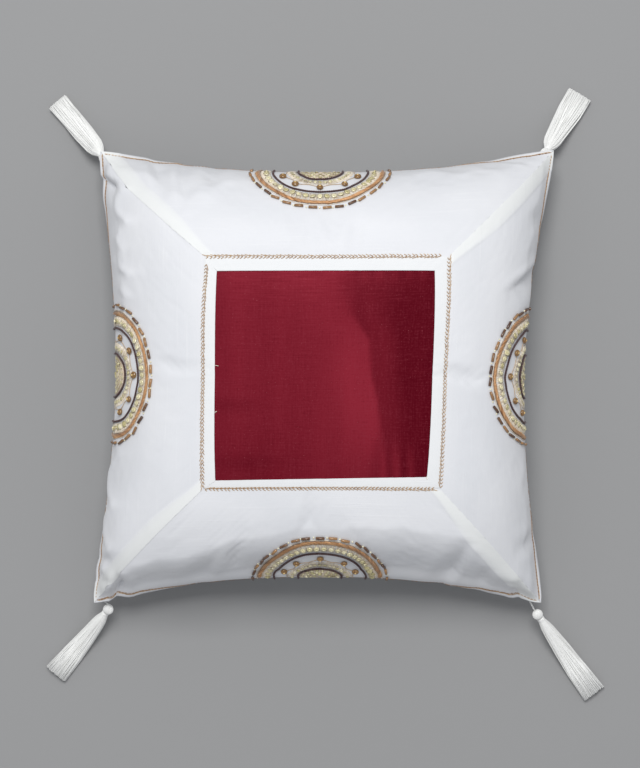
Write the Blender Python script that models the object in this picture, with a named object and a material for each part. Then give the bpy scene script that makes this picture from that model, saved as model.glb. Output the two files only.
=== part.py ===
"""A filled square cushion cover that lies on its back, with a satin centre, mitred borders and corner tassels.

The cover lies face up with +Z up and the top of the design towards +Y. The origin is on the floor, in
the middle of the flat spot that the back rests on. Points of the cloth are worked out from flat shares
(a, b) of the sewn cover: 0 in the middle, 1 at a sewn side and above 1 on the flange outside the seam.
"""

import math
import random

import bmesh
import bpy
from mathutils import Vector

# Sizes of the sewn cover, in metres
COVER = 0.406
HALF = COVER / 2
FLANGE = 0.0035
CLOTH = 0.001
HEM_RAISE = 0.0006
BACK_CLOTH = 0.0012
GAP = 0.0003

# Where the filled cover reaches: its four corners and the middles of its drawn-in sides
CORNERS = {
    "nw": (-0.1835, 0.1870),
    "ne": (0.1925, 0.1880),
    "se": (0.1820, -0.1868),
    "sw": (-0.1885, -0.1870),
}
SIDES = {
    "north": {"middle": 0.1678, "power": 2.2},
    "east": {"middle": 0.1660, "power": 1.65},
    "south": {"middle": 0.1642, "power": 2.3},
    "west": {"middle": 0.1685, "power": 1.6},
}

# Heights above the floor
CROWN_Z = 0.130
SEAM_Z = 0.056
CORNER_Z = 0.036
BELLY = 0.074
FLOOR_SOFTNESS = 0.006

# How the face curves over from its middle to the seam
EDGE_SLOPE = math.radians(88)
SLOPE_POWER = 3.7
CORNER_FULLNESS = 0.7
CORNER_FLATNESS = 4
FLANGE_DROOP = math.radians(62)
# Where the seam's folds fade out on the back, as a flat share
BACK_FOLDS = 0.80
CURVE_STEPS = 400

# The pattern of the front, as flat shares of the half cover
CENTRE_CORNERS = {
    "nw": (-0.435, 0.435),
    "ne": (0.451, 0.435),
    "se": (0.439, -0.420),
    "sw": (-0.426, -0.436),
}
CENTRE = 0.43
HEM = 0.49
RINGS = (CENTRE, HEM, 0.56, 0.65, 0.74, 0.82, 0.885, 0.94, 0.975, 1.0)
BACK_RINGS = (1.0, 0.975, 0.94, 0.885, 0.82, 0.74, 0.66, 0.58, 0.50, 0.43)
SIDE_STEPS = 18
SIDE_GRADING = 1.3

# Folds of the cloth: where each starts and ends on the flat cover, its half width and its depth
FOLDS = (
    {"start": (-1.00, 0.86), "end": (-0.84, 0.80), "width": 0.011, "depth": 0.0040},
    {"start": (-0.74, 1.00), "end": (-0.62, 0.78), "width": 0.013, "depth": 0.0030},
    {"start": (-0.54, 1.00), "end": (-0.49, 0.86), "width": 0.012, "depth": 0.0024},
    {"start": (-1.00, 0.60), "end": (-0.84, 0.60), "width": 0.013, "depth": 0.0026},
    {"start": (-1.00, 0.42), "end": (-0.86, 0.43), "width": 0.014, "depth": 0.0022},
    {"start": (0.60, 0.95), "end": (0.90, 0.88), "width": 0.012, "depth": 0.0028},
    {"start": (0.40, 1.00), "end": (0.44, 0.86), "width": 0.013, "depth": 0.0020},
    {"start": (1.00, 0.34), "end": (0.84, 0.38), "width": 0.016, "depth": 0.0030},
    {"start": (1.00, -0.62), "end": (0.86, -0.60), "width": 0.014, "depth": 0.0022},
    {"start": (-0.87, -1.00), "end": (-0.83, -0.84), "width": 0.011, "depth": 0.0060},
    {"start": (-1.00, -0.84), "end": (-0.88, -0.80), "width": 0.011, "depth": 0.0030},
    {"start": (-1.00, -0.50), "end": (-0.84, -0.46), "width": 0.015, "depth": 0.0026},
    {"start": (0.93, -1.00), "end": (0.86, -0.88), "width": 0.010, "depth": 0.0040},
    {"start": (0.68, -1.00), "end": (0.64, -0.78), "width": 0.014, "depth": 0.0028},
    {"start": (0.46, -1.00), "end": (0.46, -0.84), "width": 0.014, "depth": 0.0022},
)

# Tassels: where the cord leaves the flange, the middle of the head, the middle of the cut end, and the
# width of that end. The first two are shares or metres from the corner, the end is in plan.
TASSELS = {
    "nw": {"anchor": (0.003, -0.003), "head": (0.0010, -0.0030), "tip": (-0.2240, 0.2340), "width": 0.0165},
    "ne": {"anchor": (-0.003, -0.003), "head": (-0.0045, 0.0000), "tip": (0.2195, 0.2400), "width": 0.0205},
    "se": {"anchor": (-0.0085, 0.0010), "head": (-0.0005, -0.0125), "tip": (0.2315, -0.2685), "width": 0.0200},
    "sw": {"anchor": (0.005, 0.001), "head": (0.0095, -0.0080), "tip": (-0.2255, -0.2520), "width": 0.0190},
}
HEAD_DROP = 0.0095
STRANDS_ACROSS = 8
STRAND_LAYERS = 4
SKIRT_THICKNESS = 0.0072
UNEVEN_CUT = 0.0016
# Sections of a tassel down to the shoulder where its strands part: share of the length from the head
# to the cut end, half width and half thickness
TASSEL_SECTIONS = (
    {"share": -0.052, "across": 0.0020, "up": 0.0020},
    {"share": -0.030, "across": 0.0037, "up": 0.0037},
    {"share": 0.000, "across": 0.0043, "up": 0.0043},
    {"share": 0.034, "across": 0.0037, "up": 0.0037},
    {"share": 0.056, "across": 0.0026, "up": 0.0026},
    {"share": 0.085, "across": 0.0030, "up": 0.0028},
    {"share": 0.130, "across": 0.0055, "up": 0.0036},
    {"share": 0.190, "across": 0.0074, "up": 0.0038},
)
STRAND_STATIONS = (
    {"share": 0.42, "fill": 0.86},
    {"share": 0.72, "fill": 0.72},
    {"share": 1.00, "fill": 0.62},
)
CORD_RADIUS = 0.0008
CORD_DROP = 0.0028
# Share of the length where a skirt reaches the floor
LEVEL_FROM = 0.70

# Colours, roughness and sheen of the materials
MATERIALS = {
    "white_dupion": {"colour": (0.82, 0.83, 0.85), "roughness": 0.50},
    "maroon_satin": {"colour": (0.22, 0.012, 0.025), "roughness": 0.38},
    "tassel_thread": {"colour": (0.78, 0.78, 0.75), "roughness": 0.55},
}


def curve_over():
    """Run and rise of the curved half section at even flat shares, each as a share of the flat half."""
    run, rise = [0.0], [0.0]
    for step in range(CURVE_STEPS):
        slope = EDGE_SLOPE * ((step + 0.5) / CURVE_STEPS) ** SLOPE_POWER
        run.append(run[-1] + math.cos(slope) / CURVE_STEPS)
        rise.append(rise[-1] + math.sin(slope) / CURVE_STEPS)
    return run, rise


RUN, RISE = curve_over()


def looked_up(table, share):
    """Value of a table of even steps at a share from 0 to 1."""
    place = min(share, 1.0) * CURVE_STEPS
    low = min(int(place), CURVE_STEPS - 1)
    return table[low] + (table[low + 1] - table[low]) * (place - low)


def plan_share(flat, across):
    """Plan share of a flat share: foreshortened where the face is steep, and even along a side seam."""
    curved = looked_up(RUN, abs(flat)) / RUN[-1]
    level = abs(across) ** CORNER_FLATNESS
    return math.copysign(curved * (1 - level) + abs(flat) * level, flat)


def fullness(a, b):
    """How full the cover is at (a, b): 1 in the middle and 0 along the seam."""
    across, up = (1 - looked_up(RISE, abs(share)) / RISE[-1] for share in (a, b))
    both = across * up
    if both <= 0:
        return 0.0
    return both / (across + up - both) ** CORNER_FULLNESS


def drawn_in(side, corner_a, corner_b, axis, along):
    """How far a side is drawn in at a plan share along it."""
    outer = abs(CORNERS[corner_a][axis] + CORNERS[corner_b][axis]) / 2
    form = SIDES[side]
    return (outer - form["middle"]) * (1 - abs(along) ** form["power"])


def between_corners(corners, u, v):
    """A point of the four-sided patch between four corners, at shares from -1 to 1."""
    x = y = 0.0
    for corner, (east, north) in {"nw": (-1, 1), "ne": (1, 1), "se": (1, -1), "sw": (-1, -1)}.items():
        weight = (1 + east * u) * (1 + north * v) / 4
        x += weight * corners[corner][0]
        y += weight * corners[corner][1]
    return x, y


def plan_point(a, b):
    """Where a point of the cloth lies in plan, inside the seam."""
    u, v = plan_share(a, b), plan_share(b, a)
    x, y = between_corners(CORNERS, u, v)
    if u > 0:
        x -= u * drawn_in("east", "ne", "se", 0, v)
    else:
        x -= u * drawn_in("west", "nw", "sw", 0, v)
    if v > 0:
        y -= v * drawn_in("north", "nw", "ne", 1, u)
    else:
        y -= v * drawn_in("south", "sw", "se", 1, u)
    return x, y


def fold_depth(a, b):
    """How deep the folds press in at (a, b), as one depth."""
    deepest = 0.0
    for fold in FOLDS:
        start, end = Vector(fold["start"]), Vector(fold["end"])
        line = end - start
        place = Vector((a, b)) - start
        share = place.dot(line) / line.length_squared
        off = (place - line * min(max(share, 0.0), 1.0)).length * HALF
        taper = 1 - min(max(share, 0.0), 1.0) ** 2
        deepest = max(deepest, fold["depth"] * taper * math.exp(-((off / fold["width"]) ** 2)))
    return deepest


def above_floor(z):
    """A height that levels off softly on the floor."""
    if z <= -FLOOR_SOFTNESS:
        return 0.0
    if z >= FLOOR_SOFTNESS:
        return z
    return (z + FLOOR_SOFTNESS) ** 2 / (4 * FLOOR_SOFTNESS)


def smooth_point(a, b, face):
    """A point of the unfolded front (face 1) or back (face -1), on the seam or inside it."""
    x, y = plan_point(a, b)
    middle = SEAM_Z - (SEAM_Z - CORNER_Z) * (a * b) ** 2
    if face > 0:
        return Vector((x, y, middle + (CROWN_Z - SEAM_Z) * fullness(a, b)))
    return Vector((x, y, above_floor(middle - BELLY * fullness(a, b))))


def flange_ways(a, b):
    """The way that the flange runs out at (a, b) on the seam and the way down through its cloth."""
    along = min(abs(a), abs(b))
    droop = FLANGE_DROOP * (1 - along**3)
    out = Vector((math.copysign(abs(a) ** 12, a), math.copysign(abs(b) ** 12, b), 0))
    level = out.normalized()
    under = Vector((-level.x * math.sin(droop), -level.y * math.sin(droop), -math.cos(droop)))
    return Vector((out.x * math.cos(droop), out.y * math.cos(droop), -math.sin(droop))), under


def fold_shift(a, b):
    """How the folds move a point of the front, along its normal."""
    depth = fold_depth(a, b)
    if depth < 1e-6:
        return Vector()
    step = 0.004
    inner_a, inner_b = (min(max(share, -1 + step), 1 - step) for share in (a, b))
    east = smooth_point(inner_a + step, inner_b, 1) - smooth_point(inner_a - step, inner_b, 1)
    north = smooth_point(inner_a, inner_b + step, 1) - smooth_point(inner_a, inner_b - step, 1)
    return east.cross(north).normalized() * -depth


def on_seam(a, b):
    """The nearest shares on the seam, and how far out (a, b) lies: 1 is the seam."""
    reach = max(abs(a), abs(b))
    return a / reach, b / reach, reach


def front_point(a, b):
    """A point of the folded front, and on the flange where a share is above 1."""
    reach = max(abs(a), abs(b))
    if reach <= 1:
        return smooth_point(a, b, 1) + fold_shift(a, b)
    seam_a, seam_b, reach = on_seam(a, b)
    way = flange_ways(seam_a, seam_b)[0]
    return smooth_point(seam_a, seam_b, 1) + fold_shift(seam_a, seam_b) + way * (reach - 1) * HALF


def back_point(a, b):
    """A point of the back, a cloth's thickness under the front on the flange."""
    seam_a, seam_b, reach = on_seam(a, b)
    if reach > 1:
        return front_point(a, b) + flange_ways(seam_a, seam_b)[1] * BACK_CLOTH
    point = smooth_point(a, b, -1)
    fade = max(0.0, (reach - BACK_FOLDS) / (1 - BACK_FOLDS)) ** 2
    point += (fold_shift(seam_a, seam_b) + flange_ways(seam_a, seam_b)[1] * BACK_CLOTH) * fade
    return Vector((point.x, point.y, max(point.z, 0.0)))


def side_shares():
    """Shares along a side from corner to corner, closer together near the corners."""
    shares = []
    for step in range(SIDE_STEPS + 1):
        even = 2 * step / SIDE_STEPS - 1
        shares.append(math.copysign(1 - (1 - abs(even)) ** SIDE_GRADING, even))
    return shares


SHARES = side_shares()
AROUND = (
    [(share, 1.0) for share in SHARES[:-1]]
    + [(1.0, -share) for share in SHARES[:-1]]
    + [(-share, -1.0) for share in SHARES[:-1]]
    + [(-1.0, share) for share in SHARES[:-1]]
)
FLANGE_END = 1 + FLANGE / HALF
FRONT_RINGS = RINGS + (FLANGE_END,)


def centre_point(a, b):
    """The flat shares of a point of the slightly uneven centre square, from even shares of its half."""
    return tuple(between_corners(CENTRE_CORNERS, a, b))


def ring_shares(ring, corner_share):
    """Flat shares on a ring: the inner ones follow the centre square, the outer ones the seam."""
    a, b = corner_share
    centre_a, centre_b = centre_point(a, b)
    blend = min(max((ring - CENTRE) / (RINGS[4] - CENTRE), 0.0), 1.0)
    inner_a, inner_b = centre_a * ring / CENTRE, centre_b * ring / CENTRE
    return inner_a + (a * ring - inner_a) * blend, inner_b + (b * ring - inner_b) * blend


def add_object(name, mesh_builder, material):
    """A new object from a filled bmesh, with its faces turned outwards."""
    bmesh.ops.recalc_face_normals(mesh_builder, faces=mesh_builder.faces)
    mesh = bpy.data.meshes.new(name)
    mesh_builder.to_mesh(mesh)
    mesh_builder.free()
    mesh.shade_smooth()
    mesh.set_sharp_from_angle(angle=math.radians(40))
    mesh.materials.append(bpy.data.materials[material])
    obj = bpy.data.objects.new(name, mesh)
    bpy.context.scene.collection.objects.link(obj)
    return obj


def bridge(builder, first, second, closed=True):
    """Quads between two rows of points, all the way round or from end to end."""
    count = len(first)
    for i in range(count if closed else count - 1):
        following = (i + 1) % count
        builder.faces.new((first[i], first[following], second[following], second[i]))


def grid_rim(rows):
    """The rim of a square grid in the order that AROUND takes."""
    return (
        rows[-1][:-1]
        + [row[-1] for row in rows[::-1]][:-1]
        + rows[0][::-1][:-1]
        + [row[0] for row in rows][:-1]
    )


def add_grid(builder, points):
    """Vertices and quads of a grid of points. Returns the rows of vertices."""
    rows = [[builder.verts.new(point) for point in row] for row in points]
    for low, high in zip(rows, rows[1:]):
        bridge(builder, low, high, closed=False)
    return rows


def add_front(builder):
    """The folded front in a bmesh: rows over the centre square, then rings out to the flange."""
    centre = add_grid(builder, [[front_point(*centre_point(a, b)) for a in SHARES] for b in SHARES])
    rings = {CENTRE: grid_rim(centre)}
    for inner, ring in zip(RINGS, FRONT_RINGS[1:]):
        points = [front_point(*ring_shares(ring, share)) for share in AROUND]
        rings[ring] = [builder.verts.new(point) for point in points]
        bridge(builder, rings[inner], rings[ring])
    return centre, rings


class Front:
    """Where the front lies, and the way to lift a sheet off it so that it stays parallel."""

    def __init__(self):
        builder = bmesh.new()
        centre, rings = add_front(builder)
        bmesh.ops.recalc_face_normals(builder, faces=builder.faces)
        builder.normal_update()
        sign = 1 if centre[SIDE_STEPS // 2][SIDE_STEPS // 2].normal.z > 0 else -1
        self.points = {}
        self.lifts = {}
        named = [(("centre", i, j), vert) for i, row in enumerate(centre) for j, vert in enumerate(row)]
        named += [((ring, i), vert) for ring, verts in rings.items() for i, vert in enumerate(verts)]
        for name, vert in named:
            self.points[name] = vert.co.copy()
            self.lifts[name] = vert.normal * sign * vert.calc_shell_factor()
        builder.free()

    def lifted(self, name, distance):
        return self.points[name] + self.lifts[name] * distance

    def centre_rows(self, distance):
        size = range(SIDE_STEPS + 1)
        return [[self.lifted(("centre", i, j), distance) for j in size] for i in size]

    def side_row(self, turn, ring, distance):
        """The points of a ring along one side, with both of its corners."""
        places = [(turn * SIDE_STEPS + i) % len(AROUND) for i in range(SIDE_STEPS + 1)]
        return [self.lifted((ring, place), distance) for place in places]


def build_cushion():
    """The filled cover as one solid: its crowned front, its back with a flat spot, and the flange."""
    builder = bmesh.new()
    rim = add_front(builder)[1][FLANGE_END]
    for ring in (FLANGE_END,) + BACK_RINGS:
        following = [builder.verts.new(back_point(a * ring, b * ring)) for a, b in AROUND]
        bridge(builder, rim, following)
        rim = following
    builder.faces.new(rim)
    return add_object("cushion", builder, "white_dupion")


def close_sheet(builder, lower, upper):
    """A sheet from its lower and upper rows of points, with its four edges closed."""
    low_rows, high_rows = add_grid(builder, lower), add_grid(builder, upper)
    bridge(builder, low_rows[0], high_rows[0], closed=False)
    bridge(builder, low_rows[-1], high_rows[-1], closed=False)
    for edge in (0, -1):
        bridge(builder, [row[edge] for row in low_rows], [row[edge] for row in high_rows], closed=False)


def shrunk_to_centre(rows, gap):
    """Grid points moved in by a gap at the rim, so that the square clears the borders round it."""
    middle = sum((point for row in rows for point in row), Vector()) / (len(rows) * len(rows[0]))
    last = len(rows) - 1
    for i, row in enumerate(rows):
        for j, point in enumerate(row):
            if i in (0, last):
                point.y += math.copysign(gap, middle.y - point.y)
            if j in (0, last):
                point.x += math.copysign(gap, middle.x - point.x)
    return rows


def build_centre_panel(front):
    """The satin square in the middle of the front."""
    builder = bmesh.new()
    lower = shrunk_to_centre(front.centre_rows(GAP), GAP)
    upper = shrunk_to_centre(front.centre_rows(GAP + CLOTH), GAP)
    close_sheet(builder, lower, upper)
    return add_object("centre_panel", builder, "maroon_satin")


def moved_towards(row, other, distance):
    """The points of a row, each moved towards its neighbour in another row."""
    return [point + (goal - point).normalized() * distance for point, goal in zip(row, other)]


def border_rows(front, turn, hem_lift, cloth_lift):
    """Rows of points of one mitred border, from its hem out to the flange, drawn in at its mitres."""
    rows = [front.side_row(turn, ring, cloth_lift) for ring in FRONT_RINGS]
    edge, hem = (front.side_row(turn, ring, hem_lift) for ring in (CENTRE, HEM))
    rows[0] = moved_towards(edge, hem, GAP)
    rows.insert(1, moved_towards(hem, edge, GAP))
    for row in rows:
        for end, beside in ((0, 1), (-1, -2)):
            row[end] = row[end] + (row[beside] - row[end]).normalized() * GAP
    return rows


def build_border(front, name, turn):
    """One mitred border panel. Its doubled hem round the centre square is a little thicker."""
    builder = bmesh.new()
    lower = border_rows(front, turn, GAP, GAP)
    upper = border_rows(front, turn, GAP + CLOTH + HEM_RAISE, GAP + CLOTH)
    close_sheet(builder, lower, upper)
    return add_object(name, builder, "white_dupion")


def disc_point(across, up):
    """A point of the square from -1 to 1 moved onto the round disc."""
    return across * math.sqrt(1 - up * up / 2), up * math.sqrt(1 - across * across / 2)


class TasselPath:
    """The middle line of one tassel: from its head under the corner down to its cut end on the floor."""

    def __init__(self, corner):
        form = TASSELS[corner]
        tip = CORNERS[corner]
        outer = back_point(math.copysign(1, tip[0]), math.copysign(1, tip[1]))
        self.head = Vector((tip[0] + form["head"][0], tip[1] + form["head"][1], outer.z - HEAD_DROP))
        self.end = Vector((*form["tip"], SKIRT_THICKNESS / 2))
        self.width = form["width"]
        plan = Vector((self.end.x - self.head.x, self.end.y - self.head.y, 0))
        self.length = plan.length
        self.way = plan.normalized()
        self.across = Vector((self.way.y, -self.way.x, 0))

    def height(self, share):
        """Height of the middle line, which levels off before the cut end."""
        left = max(0.0, 1 - max(share, 0.0) / LEVEL_FROM)
        return self.end.z + (self.head.z - self.end.z) * left**1.6

    def point(self, share):
        plan = self.head + self.way * self.length * share
        return Vector((plan.x, plan.y, self.height(share)))

    def up(self, share):
        """The way up, square to the middle line."""
        step = 0.01
        along = (self.point(share + step) - self.point(share - step)).normalized()
        return self.across.cross(along)


def section_shares():
    """Shares round the edge of the strand grid, in order, and the grid itself."""
    columns = [2 * i / STRANDS_ACROSS - 1 for i in range(STRANDS_ACROSS + 1)]
    rows = [2 * j / STRAND_LAYERS - 1 for j in range(STRAND_LAYERS + 1)]
    last_row, last_column = STRAND_LAYERS, STRANDS_ACROSS
    edge = [(i, 0) for i in range(last_column)]
    edge += [(last_column, j) for j in range(last_row)]
    edge += [(i, last_row) for i in range(last_column, 0, -1)]
    edge += [(0, j) for j in range(last_row, 0, -1)]
    return columns, rows, edge


def strand_section(path, share, column, row, fill, jitter):
    """Four corners of one strand's section at a share of the tassel's length."""
    blend = (share - TASSEL_SECTIONS[-1]["share"]) / (1 - TASSEL_SECTIONS[-1]["share"])
    across = 2 * (column + 0.5) / STRANDS_ACROSS - 1
    up = 2 * (row + 0.5) / STRAND_LAYERS - 1
    disc_across, disc_up = disc_point(across, up)
    half_width = TASSEL_SECTIONS[-1]["across"] * (1 - blend) + path.width / 2 * blend
    half_up = TASSEL_SECTIONS[-1]["up"] * (1 - blend) + SKIRT_THICKNESS / 2 * blend
    place = path.point(share)
    middle = place + path.across * half_width * (disc_across * (1 - blend) + across * blend)
    middle += path.up(share) * half_up * (disc_up * (1 - blend) + up * blend)
    middle += path.across * jitter
    side = path.across * half_width / STRANDS_ACROSS * fill
    lift = path.up(share) * half_up / STRAND_LAYERS * fill
    if share >= LEVEL_FROM:
        middle.z = half_up / STRAND_LAYERS * fill + (up + 1 - 1 / STRAND_LAYERS) * half_up
    return [middle - side - lift, middle + side - lift, middle + side + lift, middle - side + lift]


def build_tassel(corner):
    """One tassel: cord end, knotted head, wrapped neck and a skirt of strands that part below it."""
    path = TasselPath(corner)
    columns, rows, edge = section_shares()
    builder = bmesh.new()
    seat = cord_ring(corner, path, edge, columns, rows)
    previous = [builder.verts.new(point) for point in seat]
    builder.faces.new(previous)
    drop = [builder.verts.new(point - Vector((0, 0, CORD_DROP))) for point in seat]
    bridge(builder, previous, drop)
    previous = drop
    grid = {}
    for section in TASSEL_SECTIONS:
        place, up = path.point(section["share"]), path.up(section["share"])
        ring = []
        for i, j in edge:
            across_share, up_share = disc_point(columns[i], rows[j])
            offset = path.across * across_share * section["across"] + up * up_share * section["up"]
            grid[(i, j)] = builder.verts.new(place + offset)
            ring.append(grid[(i, j)])
        bridge(builder, previous, ring)
        previous = ring
    for i in range(1, STRANDS_ACROSS):
        for j in range(1, STRAND_LAYERS):
            across_share, up_share = disc_point(columns[i], rows[j])
            offset = path.across * across_share * section["across"] + up * up_share * section["up"]
            grid[(i, j)] = builder.verts.new(place + offset)
    rng = random.Random(corner)
    for i in range(STRANDS_ACROSS):
        for j in range(STRAND_LAYERS):
            previous = [grid[(i, j)], grid[(i + 1, j)], grid[(i + 1, j + 1)], grid[(i, j + 1)]]
            sway = rng.uniform(-0.12, 0.12) * path.width / STRANDS_ACROSS
            cut = rng.uniform(-UNEVEN_CUT, 0) / path.length
            for station in STRAND_STATIONS:
                share = station["share"] + (cut if station["share"] == 1 else 0)
                points = strand_section(path, share, i, j, station["fill"], sway * station["share"])
                following = [builder.verts.new(point) for point in points]
                bridge(builder, previous, following)
                previous = following
            builder.faces.new(previous)
    return add_object("tassel_" + corner, builder, "tassel_thread")


def cord_ring(corner, path, edge, columns, rows):
    """The top of the hanging cord, as the round rim of the strand grid turned the way the tassel runs."""
    anchor = anchor_point(corner)
    ring = []
    for i, j in edge:
        across, up = disc_point(columns[i], rows[j])
        ring.append(anchor + (path.across * across + path.way * up) * CORD_RADIUS)
    return ring


def anchor_point(corner):
    """Where a tassel's cord meets the underside of the flange, a gap below it."""
    tip = CORNERS[corner]
    place = (tip[0] + TASSELS[corner]["anchor"][0], tip[1] + TASSELS[corner]["anchor"][1])
    around = [(place[0] + x, place[1] + y) for x in (-0.001, 0, 0.001) for y in (-0.001, 0, 0.001)]
    return Vector((*place, min(underside_at(x, y) for x, y in around) - GAP))


def underside_at(x, y):
    """Height of the cover's underside near a corner, at a point of the plan."""
    a, b = math.copysign(1, x), math.copysign(1, y)
    for _ in range(40):
        found = back_point(a, b)
        a += (x - found.x) / HALF
        b += (y - found.y) / HALF
    return found.z


def clear_scene():
    """Removes what the scene starts with."""
    for obj in list(bpy.data.objects):
        bpy.data.objects.remove(obj)


def make_materials():
    for name, look in MATERIALS.items():
        material = bpy.data.materials.new(name)
        material.use_nodes = True
        shader = material.node_tree.nodes["Principled BSDF"]
        shader.inputs["Base Color"].default_value = (*look["colour"], 1)
        shader.inputs["Roughness"].default_value = look["roughness"]
        shader.inputs["Metallic"].default_value = 0.0


def main():
    clear_scene()
    make_materials()
    front = Front()
    build_cushion()
    build_centre_panel(front)
    for turn, name in enumerate(("border_north", "border_east", "border_south", "border_west")):
        build_border(front, name, turn)
    for corner in CORNERS:
        build_tassel(corner)


main()
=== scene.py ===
import math
import random

import bmesh
import bpy
import numpy as np
from mathutils import Matrix, Vector


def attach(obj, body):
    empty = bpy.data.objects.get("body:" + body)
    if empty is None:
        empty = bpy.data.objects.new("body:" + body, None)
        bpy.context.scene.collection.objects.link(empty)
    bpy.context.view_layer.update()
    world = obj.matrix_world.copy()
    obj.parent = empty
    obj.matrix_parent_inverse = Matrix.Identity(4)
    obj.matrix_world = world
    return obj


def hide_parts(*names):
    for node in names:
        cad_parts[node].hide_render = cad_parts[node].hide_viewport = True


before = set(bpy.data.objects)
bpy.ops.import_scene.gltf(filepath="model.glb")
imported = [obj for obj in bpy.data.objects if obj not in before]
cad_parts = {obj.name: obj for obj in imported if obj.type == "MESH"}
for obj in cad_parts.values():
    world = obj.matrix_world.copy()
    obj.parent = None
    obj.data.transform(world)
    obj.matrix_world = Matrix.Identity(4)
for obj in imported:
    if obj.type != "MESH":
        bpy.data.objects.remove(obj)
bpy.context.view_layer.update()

# The sewn cover, in metres
COVER = 0.406
HALF = COVER / 2
FLANGE = 0.0035
FLANGE_END = 1 + FLANGE / HALF
BACK_CLOTH = 0.0012
PANEL_CLOTH = 0.0008
PANEL_LIFT = 0.0013
CENTRE_LIFT = 0.0009
CENTRE_CLOTH = 0.0005
HEM_RAISE = 0.0005
MITRE_RAISE = 0.0004
TUCK_UNDER = 0.003

# Where the filled cover reaches: its four corners and the middles of its drawn-in sides
CORNERS = {
    "nw": (-0.1835, 0.1870),
    "ne": (0.1925, 0.1880),
    "se": (0.1820, -0.1868),
    "sw": (-0.1885, -0.1870),
}
SIDES = {
    "north": {"middle": 0.1678, "power": 2.2},
    "east": {"middle": 0.1660, "power": 1.65},
    "south": {"middle": 0.1642, "power": 2.3},
    "west": {"middle": 0.1685, "power": 1.6},
}
CORNER_WAYS = {"nw": (-1, 1), "ne": (1, 1), "se": (1, -1), "sw": (-1, -1)}
SIDE_ENDS = {"north": ("nw", "ne"), "east": ("ne", "se"), "south": ("se", "sw"), "west": ("sw", "nw")}
SIDE_OUT = {"north": (0, 1), "east": (1, 0), "south": (0, -1), "west": (-1, 0)}

# Heights above the floor
CROWN_Z = 0.130
SEAM_Z = 0.056
CORNER_Z = 0.036
BELLY = 0.074
FLOOR_SOFTNESS = 0.006

# How the face curves over from its middle to the seam
EDGE_SLOPE = math.radians(88)
SLOPE_POWER = 3.7
CORNER_FULLNESS = 0.7
CORNER_FLATNESS = 4
FLANGE_DROOP = math.radians(94)
CORNER_TRIM = 0.65
BACK_FOLDS = 0.80
SEAM_HOLD = 0.85

# The pattern of the front, as flat shares of the half cover
CENTRE_RING = 0.43
HEM_RING = 0.49
MITRE_RING = 0.83
RING_CORNERS = {
    CENTRE_RING: {"nw": (-0.431, 0.431), "ne": (0.447, 0.430), "se": (0.438, -0.418), "sw": (-0.421, -0.432)},
    HEM_RING: {"nw": (-0.480, 0.489), "ne": (0.502, 0.489), "se": (0.491, -0.465), "sw": (-0.470, -0.465)},
    MITRE_RING: {"nw": (-0.830, 0.795), "ne": (0.833, 0.822), "se": (0.830, -0.826), "sw": (-0.836, -0.828)},
    1.0: CORNER_WAYS,
}
BOWS = {"north": 0.010, "east": 0.022, "south": 0.009, "west": 0.017}

# Folds of the cloth: start and end on the flat cover, half width, depth and the lip raised beside them
FOLDS = (
    {"start": (-1.00, 0.885), "end": (-0.868, 0.812), "width": 0.0056, "depth": 0.0095, "lip": 0.0028, "skew": -0.65},
    {"start": (-0.97, 0.97), "end": (-0.86, 0.90), "width": 0.0050, "depth": 0.0016, "lip": 0.0006},
    {"start": (-0.76, 1.00), "end": (-0.645, 0.73), "width": 0.0080, "depth": 0.0038, "lip": 0.0014, "skew": 0.4},
    {"start": (-0.63, 1.00), "end": (-0.560, 0.68), "width": 0.0070, "depth": 0.0034, "lip": 0.0012, "skew": 0.4},
    {"start": (-0.49, 1.00), "end": (-0.475, 0.80), "width": 0.0080, "depth": 0.0022, "lip": 0.0008},
    {"start": (0.72, 1.00), "end": (0.890, 0.915), "width": 0.0042, "depth": 0.0024, "lip": 0.0014, "skew": 0.4},
    {"start": (0.52, 1.00), "end": (0.53, 0.86), "width": 0.0100, "depth": 0.0018, "lip": 0.0006},
    {"start": (1.00, 0.47), "end": (0.765, 0.335), "width": 0.0075, "depth": 0.0046, "lip": 0.0014, "skew": 0.4, "keep": 0.25},
    {"start": (1.00, 0.66), "end": (0.86, 0.68), "width": 0.0080, "depth": 0.0022, "lip": 0.0006},
    {"start": (1.00, -0.70), "end": (0.82, -0.73), "width": 0.0070, "depth": 0.0024, "lip": 0.0008},
    {"start": (-0.905, -1.00), "end": (-0.850, -0.835), "width": 0.0052, "depth": 0.0085, "lip": 0.0030, "skew": -0.4, "keep": 0.35},
    {"start": (-1.00, -0.80), "end": (-0.88, -0.77), "width": 0.0050, "depth": 0.0030, "lip": 0.0012},
    {"start": (-1.00, -0.90), "end": (-0.90, -0.86), "width": 0.0048, "depth": 0.0026, "lip": 0.0012},
    {"start": (-0.52, -1.00), "end": (-0.40, -0.72), "width": 0.0090, "depth": 0.0026, "lip": 0.0010, "skew": 0.4},
    {"start": (0.56, -1.00), "end": (0.610, -0.68), "width": 0.0078, "depth": 0.0046, "lip": 0.0018, "skew": 0.5},
    {"start": (0.72, -1.00), "end": (0.700, -0.80), "width": 0.0060, "depth": 0.0026, "lip": 0.0010},
    {"start": (0.90, -1.00), "end": (0.850, -0.875), "width": 0.0060, "depth": 0.0042, "lip": 0.0018, "skew": -0.4, "keep": 0.4},
)

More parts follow.
